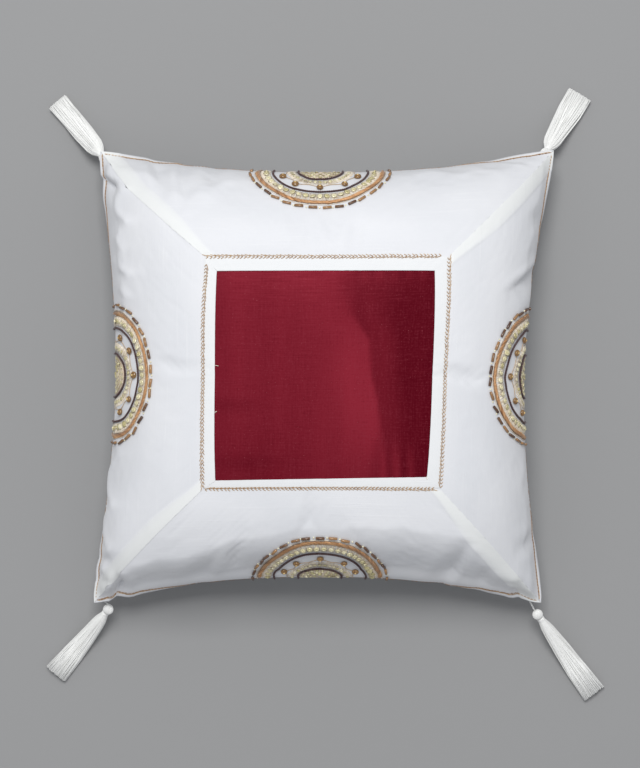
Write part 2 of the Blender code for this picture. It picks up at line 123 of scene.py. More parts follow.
# Where the face turns down into each wall: the sharp ends of its scallops as along and ring shares
WALLS = {
    "north": {
        "ridge": 0.0016,
        "sag": 0.0,
        "swing": 0.035,
        "cusps": ((-0.94, 0.94), (-0.82, 0.87), (-0.64, 0.76), (-0.56, 0.72), (-0.47, 0.76), (-0.33, 0.85), (0.0, 0.87),
                  (0.34, 0.87), (0.56, 0.86), (0.74, 0.86), (0.94, 0.94)),
    },
    "east": {
        "ridge": 0.0014,
        "sag": 0.0,
        "swing": 0.03,
        "cusps": ((-0.94, 0.94), (-0.72, 0.88), (-0.46, 0.88), (-0.2, 0.88), (0.2, 0.86), (0.36, 0.80), (0.52, 0.86),
                  (0.70, 0.88), (0.94, 0.94)),
    },
    "south": {
        "ridge": 0.0012,
        "sag": 0.0052,
        "swing": 0.012,
        "cusps": ((-0.93, 0.92), (-0.79, 0.79), (-0.66, 0.76), (-0.48, 0.74), (-0.36, 0.69), (-0.1, 0.65), (0.2, 0.635),
                  (0.34, 0.63), (0.48, 0.65), (0.60, 0.66), (0.70, 0.77), (0.82, 0.87), (0.94, 0.94)),
    },
    "west": {
        "ridge": 0.0038,
        "sag": 0.0,
        "swing": 0.055,
        "cusps": ((-0.94, 0.95), (-0.86, 0.91), (-0.73, 0.89), (-0.54, 0.88), (-0.32, 0.87), (0.0, 0.86), (0.24, 0.81),
                  (0.33, 0.83), (0.42, 0.81), (0.53, 0.84), (0.64, 0.81), (0.795, 0.84), (0.94, 0.94)),
    },
}
RIDGE_WIDTH = 0.038

# Where the filling pushes the cloth up beside its corners: middle and reach as flat shares, and height
RISES = (((-0.90, -0.68), (0.13, 0.24), 0.0100), ((0.89, -0.90), (0.13, 0.12), 0.0055))

# How far each half medallion's middle lies along its side, and out past the seam
MEDALLION_SHIFT = {"north": (0.0055, 0.0010), "east": (-0.0005, 0.0030), "south": (0.0020, -0.0020), "west": (-0.0015, 0.0025)}
# How far inside the seam their rings show from above, at the middle of each side, against even rings
RING_SIGHTS = {
    "north": ((0.0, 0.0185, 0.0400, 0.0590, 0.0690), (0.0, 0.0043, 0.0148, 0.0286, 0.0376)),
    "east": ((0.0, 0.0165, 0.0380, 0.0505, 0.0570, 0.0670), (0.0, 0.0017, 0.0137, 0.0225, 0.0266, 0.0352)),
    "south": ((0.0, 0.0215, 0.0430, 0.0555, 0.0620, 0.0720), (0.0, 0.0052, 0.0176, 0.0265, 0.0307, 0.0395)),
    "west": ((0.0, 0.0170, 0.0385, 0.0510, 0.0575, 0.0675), (0.0, 0.0058, 0.0166, 0.0238, 0.0277, 0.0363)),
}
LEG = 0.0022
ROUND_SHARE = 0.4
EYE_HEIGHT = 2.2
STIFF_CENTRE = 0.35

# Settling of the stuffed cloth
SETTLE_STEPS = 110
SETTLE_FRAMES = 22
SETTLE_PRESSURE = 4.0
SETTLE_CAP = 0.0065
SETTLE_KEEP = 60

CURVE = np.linspace(0.0, 1.0, 401)
SLOPES = EDGE_SLOPE * ((CURVE[1:] + CURVE[:-1]) / 2) ** SLOPE_POWER
RUN = np.concatenate([[0.0], np.cumsum(np.cos(SLOPES))]) / len(SLOPES)
RISE = np.concatenate([[0.0], np.cumsum(np.sin(SLOPES))]) / len(SLOPES)


def unit(vectors):
    """Vectors scaled to length 1."""
    return vectors / np.maximum(np.linalg.norm(vectors, axis=-1, keepdims=True), 1e-12)


def soft_step(value, low, high):
    """0 below low, 1 above high and a soft ramp between them."""
    share = np.clip((value - low) / (high - low), 0.0, 1.0)
    return share * share * (3 - 2 * share)


def plan_share(flat, across):
    """Plan share of a flat share: foreshortened where the face is steep, and even along a side seam."""
    curved = np.interp(np.abs(flat), CURVE, RUN) / RUN[-1]
    level = np.abs(across) ** CORNER_FLATNESS
    return np.copysign(curved * (1 - level) + np.abs(flat) * level, flat)


def fullness(a, b):
    """How full the cover is at (a, b): 1 in the middle and 0 along the seam."""
    across = 1 - np.interp(np.abs(a), CURVE, RISE) / RISE[-1]
    up = 1 - np.interp(np.abs(b), CURVE, RISE) / RISE[-1]
    both = across * up
    return both / np.maximum(across + up - both, 1e-9) ** CORNER_FULLNESS


def drawn_in(side, axis, along):
    """How far a side is drawn in at a plan share along it."""
    first, last = SIDE_ENDS[side]
    outer = abs(CORNERS[first][axis] + CORNERS[last][axis]) / 2
    return (outer - SIDES[side]["middle"]) * (1 - np.abs(along) ** SIDES[side]["power"])


def plan_place(a, b):
    """Where points of the cloth lie in plan, on the seam or inside it."""
    u, v = plan_share(a, b), plan_share(b, a)
    x = np.zeros_like(u)
    y = np.zeros_like(u)
    for corner, (east, north) in CORNER_WAYS.items():
        weight = (1 + east * u) * (1 + north * v) / 4
        x += weight * CORNERS[corner][0]
        y += weight * CORNERS[corner][1]
    x -= u * np.where(u > 0, drawn_in("east", 0, v), drawn_in("west", 0, v))
    y -= v * np.where(v > 0, drawn_in("north", 1, u), drawn_in("south", 1, u))
    return x, y


def above_floor(z):
    """Heights that level off softly on the floor."""
    soft = (z + FLOOR_SOFTNESS) ** 2 / (4 * FLOOR_SOFTNESS)
    return np.where(z >= FLOOR_SOFTNESS, z, np.where(z <= -FLOOR_SOFTNESS, 0.0, soft))


def puffed(a, b, face):
    """Points of the plain stuffed shape, front (face 1) or back (face -1)."""
    x, y = plan_place(a, b)
    middle = SEAM_Z - (SEAM_Z - CORNER_Z) * (a * b) ** 2
    if face > 0:
        z = middle + (CROWN_Z - SEAM_Z) * fullness(a, b)
    else:
        z = above_floor(middle - BELLY * fullness(a, b))
    return np.stack([x, y, z], axis=-1)


def fold_relief(a, b):
    """How far the folds stand over the smooth front at (a, b)."""
    relief = np.zeros_like(a)
    hold = soft_step(np.maximum(np.abs(a), np.abs(b)), 0.92, 1.0)
    for fold in FOLDS:
        start, end = np.array(fold["start"]), np.array(fold["end"])
        way = (end - start) / np.linalg.norm(end - start)
        reach = np.linalg.norm(end - start)
        along = (a - start[0]) * way[0] + (b - start[1]) * way[1]
        beside = ((b - start[1]) * way[0] - (a - start[0]) * way[1]) * HALF
        off = np.maximum(np.maximum(-along, along - reach), 0.0) * HALF
        taper = 1 - np.clip(along / reach, 0, 1) ** 3
        skew = fold.get("skew", 0.0)
        width = fold["width"] * np.where(beside > 0, 1 + skew, 1 - skew)
        trough = np.exp(-((np.abs(beside) / width) ** 1.6) - (off / fold["width"]) ** 2)
        lip = np.exp(-(((np.abs(beside) - 1.7 * width) / (0.8 * width)) ** 2) - (off / fold["width"]) ** 2)
        kept = 1 - hold * (1 - fold.get("keep", 0.2))
        relief += kept * taper * (fold["lip"] * lip - fold["depth"] * trough)
    return relief


def wall_relief(a, b):
    """How far the shoulders stand out where the face turns down, and how far the walls below them sag."""
    relief = np.zeros_like(a)
    loose = loose_share(a, b, 0.25)
    for side, wall in WALLS.items():
        out, along = (a * SIDE_OUT[side][0], b) if SIDE_OUT[side][0] else (b * SIDE_OUT[side][1], a)
        stations, shares = np.array(wall["cusps"]).T
        number = np.clip(np.searchsorted(stations, along) - 1, 0, len(stations) - 2)
        step = stations[number + 1] - stations[number]
        between = np.clip((along - stations[number]) / step, 0, 1)
        swing = wall["swing"] * np.minimum(step / 0.15, 1.0) * 4 * between * (1 - between)
        shoulder = np.minimum(shares[number] * (1 - between) + shares[number + 1] * between + swing, 0.96)
        own = soft_step(out - np.abs(along), -0.03, 0.06) * soft_step(out, 0.3, 0.6)
        ridge = np.exp(-np.abs(out - shoulder) / RIDGE_WIDTH) * (1 - soft_step(out, 0.93, 1.0))
        below = np.clip((out - shoulder) / (1 - shoulder), 0, 1)
        sag = soft_step(below, 0.0, 0.62) * (1 - soft_step(below, 0.70, 1.0)) * (1 - shoulder) / 0.28
        relief += own * (wall["ridge"] * ridge * loose - wall["sag"] * sag)
    return relief


def loose_share(a, b, least):
    """1 where the cloth is free to pucker, down to a least share where beads and threads stiffen it."""
    loose = np.ones_like(a)
    for side, (shift, outward) in MEDALLION_SHIFT.items():
        east, north = SIDE_OUT[side]
        along = (b * east - a * north) * HALF - shift
        down = (1 - a * east - b * north) * HALF + outward
        loose = loose * (least + (1 - least) * soft_step(np.hypot(along, down), 0.056, 0.090))
    return loose


def relief_moves(a, b):
    """The moves of the folds, shoulders, walls and rises from the smooth front."""
    moves = smooth_normals(a, b) * (fold_relief(a, b) + wall_relief(a, b))[..., None]
    free = 1 - soft_step(np.maximum(np.abs(a), np.abs(b)), 0.93, 1.0)
    for (east, north), (wide, high), rise in RISES:
        moves[..., 2] += free * rise * np.exp(-(((a - east) / wide) ** 2) - ((b - north) / high) ** 2)
    return moves


def smooth_normals(a, b, face=1, step=0.004):
    """The way out of the plain stuffed shape."""
    inner_a, inner_b = np.clip(a, step - 1, 1 - step), np.clip(b, step - 1, 1 - step)
    east = puffed(inner_a + step, inner_b, face) - puffed(inner_a - step, inner_b, face)
    north = puffed(inner_a, inner_b + step, face) - puffed(inner_a, inner_b - step, face)
    return unit(np.cross(east, north)) * face


# What the settling adds to the designed shape: one grid of moves for the front and one for the back
settled = {1: None, -1: None}


def settled_move(a, b, face):
    """The settled cloth's moves at (a, b), read smoothly from their grid."""
    moves = settled[face]
    if moves is None:
        return np.zeros(a.shape + (3,))
    steps = moves.shape[0] - 1
    u, v = (a + 1) / 2 * steps, (b + 1) / 2 * steps
    i = np.clip(np.floor(u).astype(int), 0, steps - 1)
    j = np.clip(np.floor(v).astype(int), 0, steps - 1)
    total = np.zeros(a.shape + (3,))
    for di in (-1, 0, 1, 2):
        for dj in (-1, 0, 1, 2):
            weight = cubic(u - i - di) * cubic(v - j - dj)
            column = np.clip(i + di, 0, steps)
            row = np.clip(j + dj, 0, steps)
            total += weight[..., None] * moves[row, column]
    return total


def cubic(distance):
    """Weight of a grid point at a distance in steps, for a smooth curve through the points."""
    d = np.abs(distance)
    near = 1.5 * d**3 - 2.5 * d**2 + 1
    far = -0.5 * d**3 + 2.5 * d**2 - 4 * d + 2
    return np.where(d < 1, near, np.where(d < 2, far, 0.0))


def onto_seam(a, b):
    """The shares brought back to the seam where they pass it, and how far out they were."""
    reach = np.maximum(np.abs(a), np.abs(b))
    over = np.maximum(reach, 1.0)
    return a / over, b / over, reach


def flange_ways(a, b):
    """The way that the flange runs out at (a, b) on the seam and the way down through its cloth."""
    along = np.minimum(np.abs(a), np.abs(b))
    droop = FLANGE_DROOP * (1 - along**3)
    out = np.stack([np.copysign(np.abs(a) ** 12, a), np.copysign(np.abs(b) ** 12, b), np.zeros_like(a)], axis=-1)
    out = out * (1 - CORNER_TRIM * along[..., None] ** 14)
    level = unit(out)
    lower = (np.sin(droop))[..., None]
    flat = (np.cos(droop))[..., None]
    down = np.array([0.0, 0.0, -1.0])
    return (out * flat + down * lower), down * flat - level * lower


def steadied(moves, a, b):
    """Moves of the cloth held back near the seam, under the stiff embroidery and in the centre."""
    reach = np.maximum(np.abs(a), np.abs(b))
    hold = soft_step(reach, 0.86, 1.0)
    loose = loose_share(a, b, 0.12) * (STIFF_CENTRE + (1 - STIFF_CENTRE) * soft_step(reach, 0.50, 0.66))
    return moves * np.stack([1 - SEAM_HOLD * hold, 1 - SEAM_HOLD * hold, 1 - 0.3 * hold], axis=-1) * loose[..., None]


def inside_place(a, b, face):
    """Points of the folded and settled cloth, on the seam or inside it."""
    place = puffed(a, b, face) + steadied(settled_move(a, b, face), a, b)
    if face > 0:
        return place + relief_moves(a, b)
    seam_a, seam_b, reach = seam_of(a, b)
    fade = (np.clip((reach - BACK_FOLDS) / (1 - BACK_FOLDS), 0, 1) ** 2)[..., None]
    place = place + (relief_moves(seam_a, seam_b) + flange_ways(seam_a, seam_b)[1] * BACK_CLOTH) * fade
    place[..., 2] = np.maximum(place[..., 2], 0.0)
    return place


def seam_of(a, b):
    """The nearest shares on the seam, and how far out (a, b) lies: 1 is the seam."""
    reach = np.maximum(np.maximum(np.abs(a), np.abs(b)), 1e-6)
    return a / reach, b / reach, reach


def cloth_place(a, b, face=1):
    """Points of the front or back, and of the flange where a share is above 1."""
    a, b = np.asarray(a, float), np.asarray(b, float)
    inner_a, inner_b, reach = onto_seam(a, b)
    out = (np.maximum(reach - 1, 0.0) * HALF)[..., None]
    return inside_place(inner_a, inner_b, face) + flange_ways(inner_a, inner_b)[0] * out


def cloth_frame(a, b, step=0.005):
    """Points of the front with their normals and the flat pattern's two directions on them."""
    a, b = np.asarray(a, float), np.asarray(b, float)
    low_a, high_a = np.clip(a - step, -1, 1), np.clip(a + step, -1, 1)
    low_b, high_b = np.clip(b - step, -1, 1), np.clip(b + step, -1, 1)
    east = cloth_place(high_a, b) - cloth_place(low_a, b)
    north = cloth_place(a, high_b) - cloth_place(a, low_b)
    return cloth_place(a, b), unit(np.cross(east, north)), unit(east), unit(north)


def ring_corner(corner, ring):
    """The flat shares of a ring's corner, between the centre square, the hem line and the seam."""
    stations = sorted(RING_CORNERS)
    x = np.interp(ring, stations, [RING_CORNERS[station][corner][0] for station in stations])
    y = np.interp(ring, stations, [RING_CORNERS[station][corner][1] for station in stations])
    return np.stack([x, y], axis=-1)


def on_border(side, along, ring):
    """Flat shares of points on one border, from along (-1 to 1 between its mitres) and ring."""
    along, ring = np.broadcast_arrays(np.asarray(along, float), np.asarray(ring, float))
    inner = np.minimum(ring, 1.0)
    start, end = (ring_corner(corner, inner) for corner in SIDE_ENDS[side])
    bow = BOWS[side] * (1 - along**2) * (1 - np.clip((inner - HEM_RING) / (1 - HEM_RING), 0, 1))
    place = start + (end - start) * ((along + 1) / 2)[..., None]
    place = place + np.array(SIDE_OUT[side]) * bow[..., None]
    place = place * np.maximum(ring, 1.0)[..., None]
    return place[..., 0], place[..., 1]


def grid_builder(columns, rows):
    """A bmesh grid with so many points each way, in rows."""
    builder = bmesh.new()
    bmesh.ops.create_grid(builder, x_segments=columns - 1, y_segments=rows - 1, size=1.0)
    return builder


def put_points(mesh, points):
    """Moves a mesh's points to new places."""
    mesh.vertices.foreach_set("co", np.ascontiguousarray(points, dtype=np.float32).ravel())
    mesh.update()


def add_point_numbers(mesh, name, values):
    """A number for each point, which the materials read."""
    layer = mesh.attributes.new(name, "FLOAT", "POINT")
    layer.data.foreach_set("value", np.ascontiguousarray(values, dtype=np.float32).ravel())


def add_pattern_map(mesh, flat):
    """The flat pattern's own lengths, in metres, as the UV map."""
    corners = np.empty(len(mesh.loops), np.int32)
    mesh.loops.foreach_get("vertex_index", corners)
    layer = mesh.uv_layers.new(name="pattern")
    layer.data.foreach_set("uv", np.ascontiguousarray(flat[corners], dtype=np.float32).ravel())


def add_piece(name, mesh, material, replaces=()):
    """A finished piece of the cover, smooth shaded, riding on the part's one body."""
    mesh.name = name
    mesh.shade_smooth()
    mesh.materials.append(material)
    piece = bpy.data.objects.new(name, mesh)
    bpy.context.scene.collection.objects.link(piece)
    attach(piece, "root")
    if replaces:
        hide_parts(*replaces)
    return piece


def finish_cloth(piece, thickness):
    """Gives a sheet its thickness, downwards, and one subdivision."""
    body = piece.modifiers.new("cloth thickness", "SOLIDIFY")
    body.thickness = thickness
    body.offset = -1
    body.edge_crease_rim = body.edge_crease_outer = 1
    round_off = piece.modifiers.new("soft cloth", "SUBSURF")
    round_off.levels = round_off.render_levels = 1


# ---- Settling of the stuffed cloth ----
def seam_shares(steps, grading=1.0):
    """Even shares from seam to seam, closer together near the seams with a grading above 1."""
    even = np.linspace(-1, 1, steps + 1)
    return np.copysign(1 - (1 - np.abs(even)) ** grading, even)


def stuffed_builder(lines):
    """Front and back grids with their points numbered, welded along the seam."""
    size = len(lines)
    builder = bmesh.new()
    number = builder.verts.layers.int.new("number")
    a, b = np.meshgrid(lines, lines)
    rim = np.zeros((size, size), bool)
    rim[0], rim[-1], rim[:, 0], rim[:, -1] = True, True, True, True
    for face in (1, -1):
        made = bmesh.ops.create_grid(builder, x_segments=size - 1, y_segments=size - 1, size=1.0)["verts"]
        places = puffed(a, b, face)
        if face < 0:
            places[rim] = puffed(a, b, 1)[rim]
        for index, vert in enumerate(made):
            row, column = divmod(index, size)
            vert.co = places[row, column]
            vert[number] = index + (0 if face > 0 or rim[row, column] else size * size)
        if face < 0:
            bmesh.ops.reverse_faces(builder, faces=list({f for vert in made for f in vert.link_faces}))
    bmesh.ops.remove_doubles(builder, verts=builder.verts, dist=1e-6)
    return builder


def smoothed_along(grid, times):
    """A grid of moves, smoothed along its first way so many times."""
    for _ in range(times):
        padded = np.pad(grid, ((1, 1), (0, 0), (0, 0)), mode="edge")
        grid = (padded[1:-1] * 2 + padded[:-2] + padded[2:]) / 4
    return grid


def puckers_of(grid, lines):
    """The part of the moves that changes along the nearest seam: its puckers, not its pull."""
    a, b = np.meshgrid(lines, lines)
    sideways = soft_step(np.abs(a) - np.abs(b), -0.15, 0.15)[..., None]
    up_down = smoothed_along(grid, SETTLE_KEEP)
    across = smoothed_along(grid.transpose(1, 0, 2), SETTLE_KEEP).transpose(1, 0, 2)
    return grid - up_down * sideways - across * (1 - sideways)


def settle_cloth():
    """Lets the stuffed cloth settle from the designed shape, with the flat cut as its rest size."""
    lines = seam_shares(SETTLE_STEPS)
    size = len(lines)
    builder = stuffed_builder(lines)
    mesh = bpy.data.meshes.new("settling_cover")
    builder.to_mesh(mesh)
    builder.free()
    count = len(mesh.vertices)
    numbers = np.empty(count, np.int32)
    mesh.attributes["number"].data.foreach_get("value", numbers)
    start = np.empty(count * 3, np.float32)
    mesh.vertices.foreach_get("co", start)
    cover = bpy.data.objects.new("settling_cover", mesh)
    bpy.context.scene.collection.objects.link(cover)
    cover.shape_key_add(name="stuffed")
    cut = cover.shape_key_add(name="flat_cut")
    row, column = np.divmod(numbers % (size * size), size)
    flat = np.stack([lines[column] * HALF, lines[row] * HALF, np.zeros(count)], axis=-1)
    cut.data.foreach_set("co", flat.astype(np.float32).ravel())
    cut.value = 0.0
    cloth = cover.modifiers.new("settling", "CLOTH")
    cloth.settings.quality = 6
    cloth.settings.mass = 0.0002
    cloth.settings.use_pressure = True
    cloth.settings.uniform_pressure_force = SETTLE_PRESSURE
    cloth.settings.tension_stiffness = 20
    cloth.settings.compression_stiffness = 14
    cloth.settings.shear_stiffness = 6
    cloth.settings.bending_stiffness = 0.02
    cloth.settings.tension_damping = 10
    cloth.settings.compression_damping = 10
    cloth.settings.shear_damping = 10
    cloth.settings.bending_damping = 0.5
    cloth.settings.air_damping = 2
    cloth.settings.effector_weights.gravity = 0.0
    cloth.settings.rest_shape_key = cut
    cloth.collision_settings.use_collision = False
    cloth.point_cache.frame_start = 1
    cloth.point_cache.frame_end = SETTLE_FRAMES
    for step in range(1, SETTLE_FRAMES + 1):
        bpy.context.scene.frame_set(step)
    result = cover.evaluated_get(bpy.context.evaluated_depsgraph_get()).to_mesh()
    end = np.empty(count * 3, np.float32)
    result.vertices.foreach_get("co", end)
    moves = (end - start).reshape(-1, 3)
    bpy.context.scene.frame_set(1)
    bpy.data.objects.remove(cover)
    bpy.data.meshes.remove(mesh)
    both = np.zeros((2 * size * size, 3))
    both[numbers] = moves
    front = both[: size * size].reshape(size, size, 3)
    back = both[size * size :].reshape(size, size, 3)
    back[0], back[-1], back[:, 0], back[:, -1] = front[0], front[-1], front[:, 0], front[:, -1]
    for face, grid in ((1, front), (-1, back)):
        puckers = puckers_of(grid, lines)
        length = np.linalg.norm(puckers, axis=-1, keepdims=True)
        print("settled", face, "mean mm", round(float(length.mean()) * 1000, 2), "most", round(float(length.max()) * 1000, 2))
        settled[face] = puckers * SETTLE_CAP / np.maximum(length, SETTLE_CAP)
    for rim in (np.s_[0], np.s_[-1], np.s_[:, 0], np.s_[:, -1]):
        settled[-1][rim] = settled[1][rim]


settle_cloth()


# ---- Materials ----
class Look:
    """A Principled material with short calls for its nodes."""

    def __init__(self, name, colour=(0.8, 0.8, 0.8), roughness=0.5, **sockets):
        self.material = bpy.data.materials.new(name)
        self.material.use_nodes = True
        self.tree = self.material.node_tree
        self.shader = self.tree.nodes["Principled BSDF"]
        self.shader.inputs["Base Color"].default_value = (*colour, 1)
        self.shader.inputs["Roughness"].default_value = roughness
        for socket, value in sockets.items():
            self.shader.inputs[socket.replace("_", " ").title().replace("Ior", "IOR")].default_value = value

    def node(self, kind, inputs=None, **settings):
        node = self.tree.nodes.new(kind)
        for setting, value in settings.items():
            setattr(node, setting, value)
        for socket, value in (inputs or {}).items():
            if isinstance(value, bpy.types.NodeSocket):
                self.tree.links.new(value, node.inputs[socket])
            else:
                node.inputs[socket].default_value = value
        return node

    def pattern(self, scale):
        """The flat pattern's coordinates, scaled."""
        uv = self.node("ShaderNodeUVMap", uv_map="pattern").outputs["UV"]
        return self.node("ShaderNodeMapping", {"Vector": uv, "Scale": scale}).outputs["Vector"]

    def place(self, scale):
        """The piece's own coordinates, scaled."""
        place = self.node("ShaderNodeTexCoord").outputs["Object"]
        return self.node("ShaderNodeMapping", {"Vector": place, "Scale": scale}).outputs["Vector"]

    def noise(self, vector, scale, detail=2.0, roughness=0.5):
        inputs = {"Vector": vector, "Scale": scale, "Detail": detail, "Roughness": roughness}
        return self.node("ShaderNodeTexNoise", inputs).outputs["Fac"]

    def wave(self, vector, scale, direction="X", distortion=0.0, shape="SIN"):
        inputs = {"Vector": vector, "Scale": scale, "Distortion": distortion, "Detail": 1.0}
        settings = {"wave_type": "BANDS", "bands_direction": direction, "wave_profile": shape}
        return self.node("ShaderNodeTexWave", inputs, **settings).outputs["Fac"]

    def number(self, name):
        return self.node("ShaderNodeAttribute", attribute_name=name).outputs["Fac"]

    def sums(self, operation, first, second):
        return self.node("ShaderNodeMath", {0: first, 1: second}, operation=operation).outputs[0]

    def spread(self, value, low, high, to_low=0.0, to_high=1.0):
        inputs = {"Value": value, "From Min": low, "From Max": high, "To Min": to_low, "To Max": to_high}
        return self.node("ShaderNodeMapRange", inputs).outputs["Result"]

    def mixed(self, share, first, second):
        inputs = {"Factor": share}
        node = self.node("ShaderNodeMix", data_type="RGBA")
        for socket, value in (("Factor", share), ("A", first), ("B", second)):
            target = [item for item in node.inputs if item.name == socket and item.enabled][0]
            if isinstance(value, bpy.types.NodeSocket):
                self.tree.links.new(value, target)
            else:
                target.default_value = value if socket == "Factor" else (*value, 1)
        return [item for item in node.outputs if item.enabled][0]

    def colour(self, source):
        self.tree.links.new(source, self.shader.inputs["Base Color"])

    def roughness(self, source):
        self.tree.links.new(source, self.shader.inputs["Roughness"])

    def bump(self, height, distance, strength=1.0):
        inputs = {"Height": height, "Distance": distance, "Strength": strength}
        normal = self.node("ShaderNodeBump", inputs).outputs["Normal"]
        self.tree.links.new(normal, self.shader.inputs["Normal"])


def white_dupion():
    """White slubbed cloth, whiter where two layers lie together."""
    look = Look("white_dupion", roughness=0.5, sheen_weight=0.25, sheen_roughness=0.4)
    look.shader.inputs["Specular IOR Level"].default_value = 0.35
    slub = look.noise(look.pattern((55, 1500, 1)), 1.0, 3.0, 0.6)
    long_slub = look.noise(look.pattern((14, 420, 1)), 1.0, 2.0, 0.5)
    cloudy = look.noise(look.pattern((9, 22, 1)), 1.0, 2.0, 0.5)
    weft = look.wave(look.pattern((1, 1, 1)), 900.0, "Y")
    warp = look.wave(look.pattern((1, 1, 1)), 900.0, "X")
    single = look.mixed(look.spread(cloudy, 0.3, 0.7), (0.70, 0.71, 0.735), (0.76, 0.765, 0.785))
    slubbed = look.mixed(look.spread(long_slub, 0.6, 0.8, 0.0, 0.3), single, (0.83, 0.83, 0.835))
    double = look.mixed(look.number("layers"), slubbed, (0.80, 0.81, 0.80))
    look.colour(double)
    threads = look.sums("MULTIPLY", weft, warp)
    raised = look.sums("ADD", look.sums("MULTIPLY", slub, 0.8), look.sums("MULTIPLY", threads, 0.25))
    height = look.sums("ADD", raised, look.spread(long_slub, 0.55, 0.8, 0.0, 0.5))
    look.bump(height, 0.00025, 0.5)
    look.roughness(look.spread(slub, 0.2, 0.8, 0.56, 0.44))
    return look.material


def maroon_satin():
    """Deep maroon satin with fine slubs both ways, soft random streaking down the cloth, and a painted sheen and
    painted shade read from each point's number.
    """
    look = Look("maroon_satin", roughness=0.42)
    look.shader.inputs["Specular IOR Level"].default_value = 0.22
    look.shader.inputs["Specular Tint"].default_value = (1.0, 0.12, 0.18, 1)
    streak = look.noise(look.pattern((34, 2.5, 1)), 1.0, 2.0, 0.5)
    down = look.noise(look.pattern((1300, 45, 1)), 1.0, 3.0, 0.6)
    across = look.noise(look.pattern((38, 1100, 1)), 1.0, 3.0, 0.6)
    speck = look.noise(look.pattern((700, 700, 1)), 1.0, 1.0, 0.5)
    # Painted sheen and painted shade: the per-point sheen number moves the base from the deep maroon of the painted
    # shade to the bright maroon of the painted highlight; the streak noise adds random tone.
    sheen_and_streaks = look.sums("ADD", look.number("painted_sheen"), look.spread(streak, 0.35, 0.65, -0.07, 0.07))
    base = look.mixed(sheen_and_streaks, (0.074, 0.0008, 0.0056), (0.215, 0.0150, 0.0280))
    grain = look.noise(look.pattern((520, 520, 1)), 1.0, 2.0, 0.6)
    threads = look.sums("MULTIPLY", look.sums("ADD", look.sums("ADD", down, across), grain), 0.3333)
    light = look.mixed(look.spread(threads, 0.49, 0.66, 0.0, 0.40), base, (0.21, 0.028, 0.044))
    woven = look.mixed(look.spread(threads, 0.36, 0.47, 0.34, 0.0), light, (0.045, 0.0006, 0.0030))
    specks = look.mixed(look.spread(speck, 0.69, 0.80, 0.0, 0.4), woven, (0.34, 0.09, 0.11))
    look.colour(specks)
    look.bump(threads, 0.0002, 0.25)
    look.roughness(look.spread(across, 0.3, 0.7, 0.48, 0.36))
    return look.material


def tinted_threads(name, dark, light, roughness, twist, **sockets):
    """Thread whose colour goes from dark to light by each piece's own tint, with a fine twist."""
    look = Look(name, roughness=roughness, **sockets)
    fleck = look.noise(look.place((1, 1, 1)), 900.0, 2.0, 0.6)
    tint = look.sums("ADD", look.number("tint"), look.spread(fleck, 0.3, 0.7, -0.18, 0.18))
    look.colour(look.mixed(tint, dark, light))
    look.bump(look.noise(look.place((1, 1, 1)), twist, 2.0, 0.6), 0.0003, 0.6)
    return look.material


WHITE_DUPION = white_dupion()
MAROON_SATIN = maroon_satin()
COPPER_CHAIN = tinted_threads(
    "copper_chain", (0.30, 0.14, 0.055), (0.84, 0.62, 0.36), 0.42, 2200.0, metallic=0.25, sheen_weight=0.2
)
COPPER_BRAID = tinted_threads(
    "copper_braid", (0.32, 0.13, 0.045), (0.86, 0.52, 0.26), 0.38, 2200.0, metallic=0.3, sheen_weight=0.2
)
PALE_THREAD = tinted_threads("pale_thread", (0.44, 0.29, 0.15), (0.96, 0.88, 0.74), 0.5, 2200.0, sheen_weight=0.3)
DARK_CORD = tinted_threads("dark_cord", (0.028, 0.008, 0.010), (0.16, 0.05, 0.045), 0.5, 2200.0, sheen_weight=0.25)
BUGLE_GLASS = tinted_threads("bugle_glass", (0.075, 0.032, 0.018), (0.42, 0.23, 0.095), 0.25, 900.0, coat_weight=0.3)
GOLD_SEQUIN = tinted_threads("gold_sequin", (0.50, 0.43, 0.16), (0.96, 0.90, 0.66), 0.32, 600.0, metallic=0.3)
AMBER_BEAD = tinted_threads("amber_bead", (0.16, 0.065, 0.012), (0.80, 0.58, 0.25), 0.25, 700.0, coat_weight=0.5)
TASSEL_THREAD = tinted_threads("tassel_thread", (0.80, 0.80, 0.77), (0.95, 0.95, 0.93), 0.45, 1500.0, sheen_weight=0.3)


# ---- The stuffed cover: front under the panels, flange and back ----
COVER_STEPS = 92


def build_cover():
    lines = np.concatenate([[-FLANGE_END], seam_shares(COVER_STEPS, 1.15), [FLANGE_END]])
    size = len(lines)
    builder = bmesh.new()
    a, b = np.meshgrid(lines, lines)
    rims = []
    for face in (1, -1):
        made = bmesh.ops.create_grid(builder, x_segments=size - 1, y_segments=size - 1, size=1.0)["verts"]
        rims += list({e for v in made for e in v.link_edges if e.is_boundary})
        if face < 0:
            bmesh.ops.reverse_faces(builder, faces=list({f for v in made for f in v.link_faces}))
    bmesh.ops.bridge_loops(builder, edges=rims)
    mesh = bpy.data.meshes.new("stuffed_cover")
    builder.to_mesh(mesh)
    builder.free()
    front = cloth_place(a, b, 1)
    back = cloth_place(a, b, -1)
    over = np.maximum(np.maximum(np.abs(a), np.abs(b)), 1.0)
    outside = over > 1
    back[outside] = (front + flange_ways(a / over, b / over)[1] * BACK_CLOTH)[outside]
    put_points(mesh, np.concatenate([front.reshape(-1, 3), back.reshape(-1, 3)]))
    flat = np.stack([a, b], axis=-1).reshape(-1, 2) * HALF
    add_pattern_map(mesh, np.concatenate([flat, flat]))
    add_point_numbers(mesh, "layers", np.zeros(len(mesh.vertices)))
    piece = add_piece("stuffed_cover", mesh, WHITE_DUPION, ["cushion"])
    round_off = piece.modifiers.new("soft cloth", "SUBSURF")
    round_off.levels = round_off.render_levels = 1
    return piece


stuffed_cover = build_cover()

# ---- The border panels ----
BORDER_COLUMNS = 104
BORDER_ROWS = 46
BAND_STEPS = np.array([0.0, 0.00012, 0.0010, 0.003, 0.006, 0.009])
END_STEPS = np.array([0.0020, 0.0008, 0.00012, 0.0])
BAND_WIDTH = {"frame": 0.0095, "outer": 0.0185}
BAND_EDGE = 0.0012


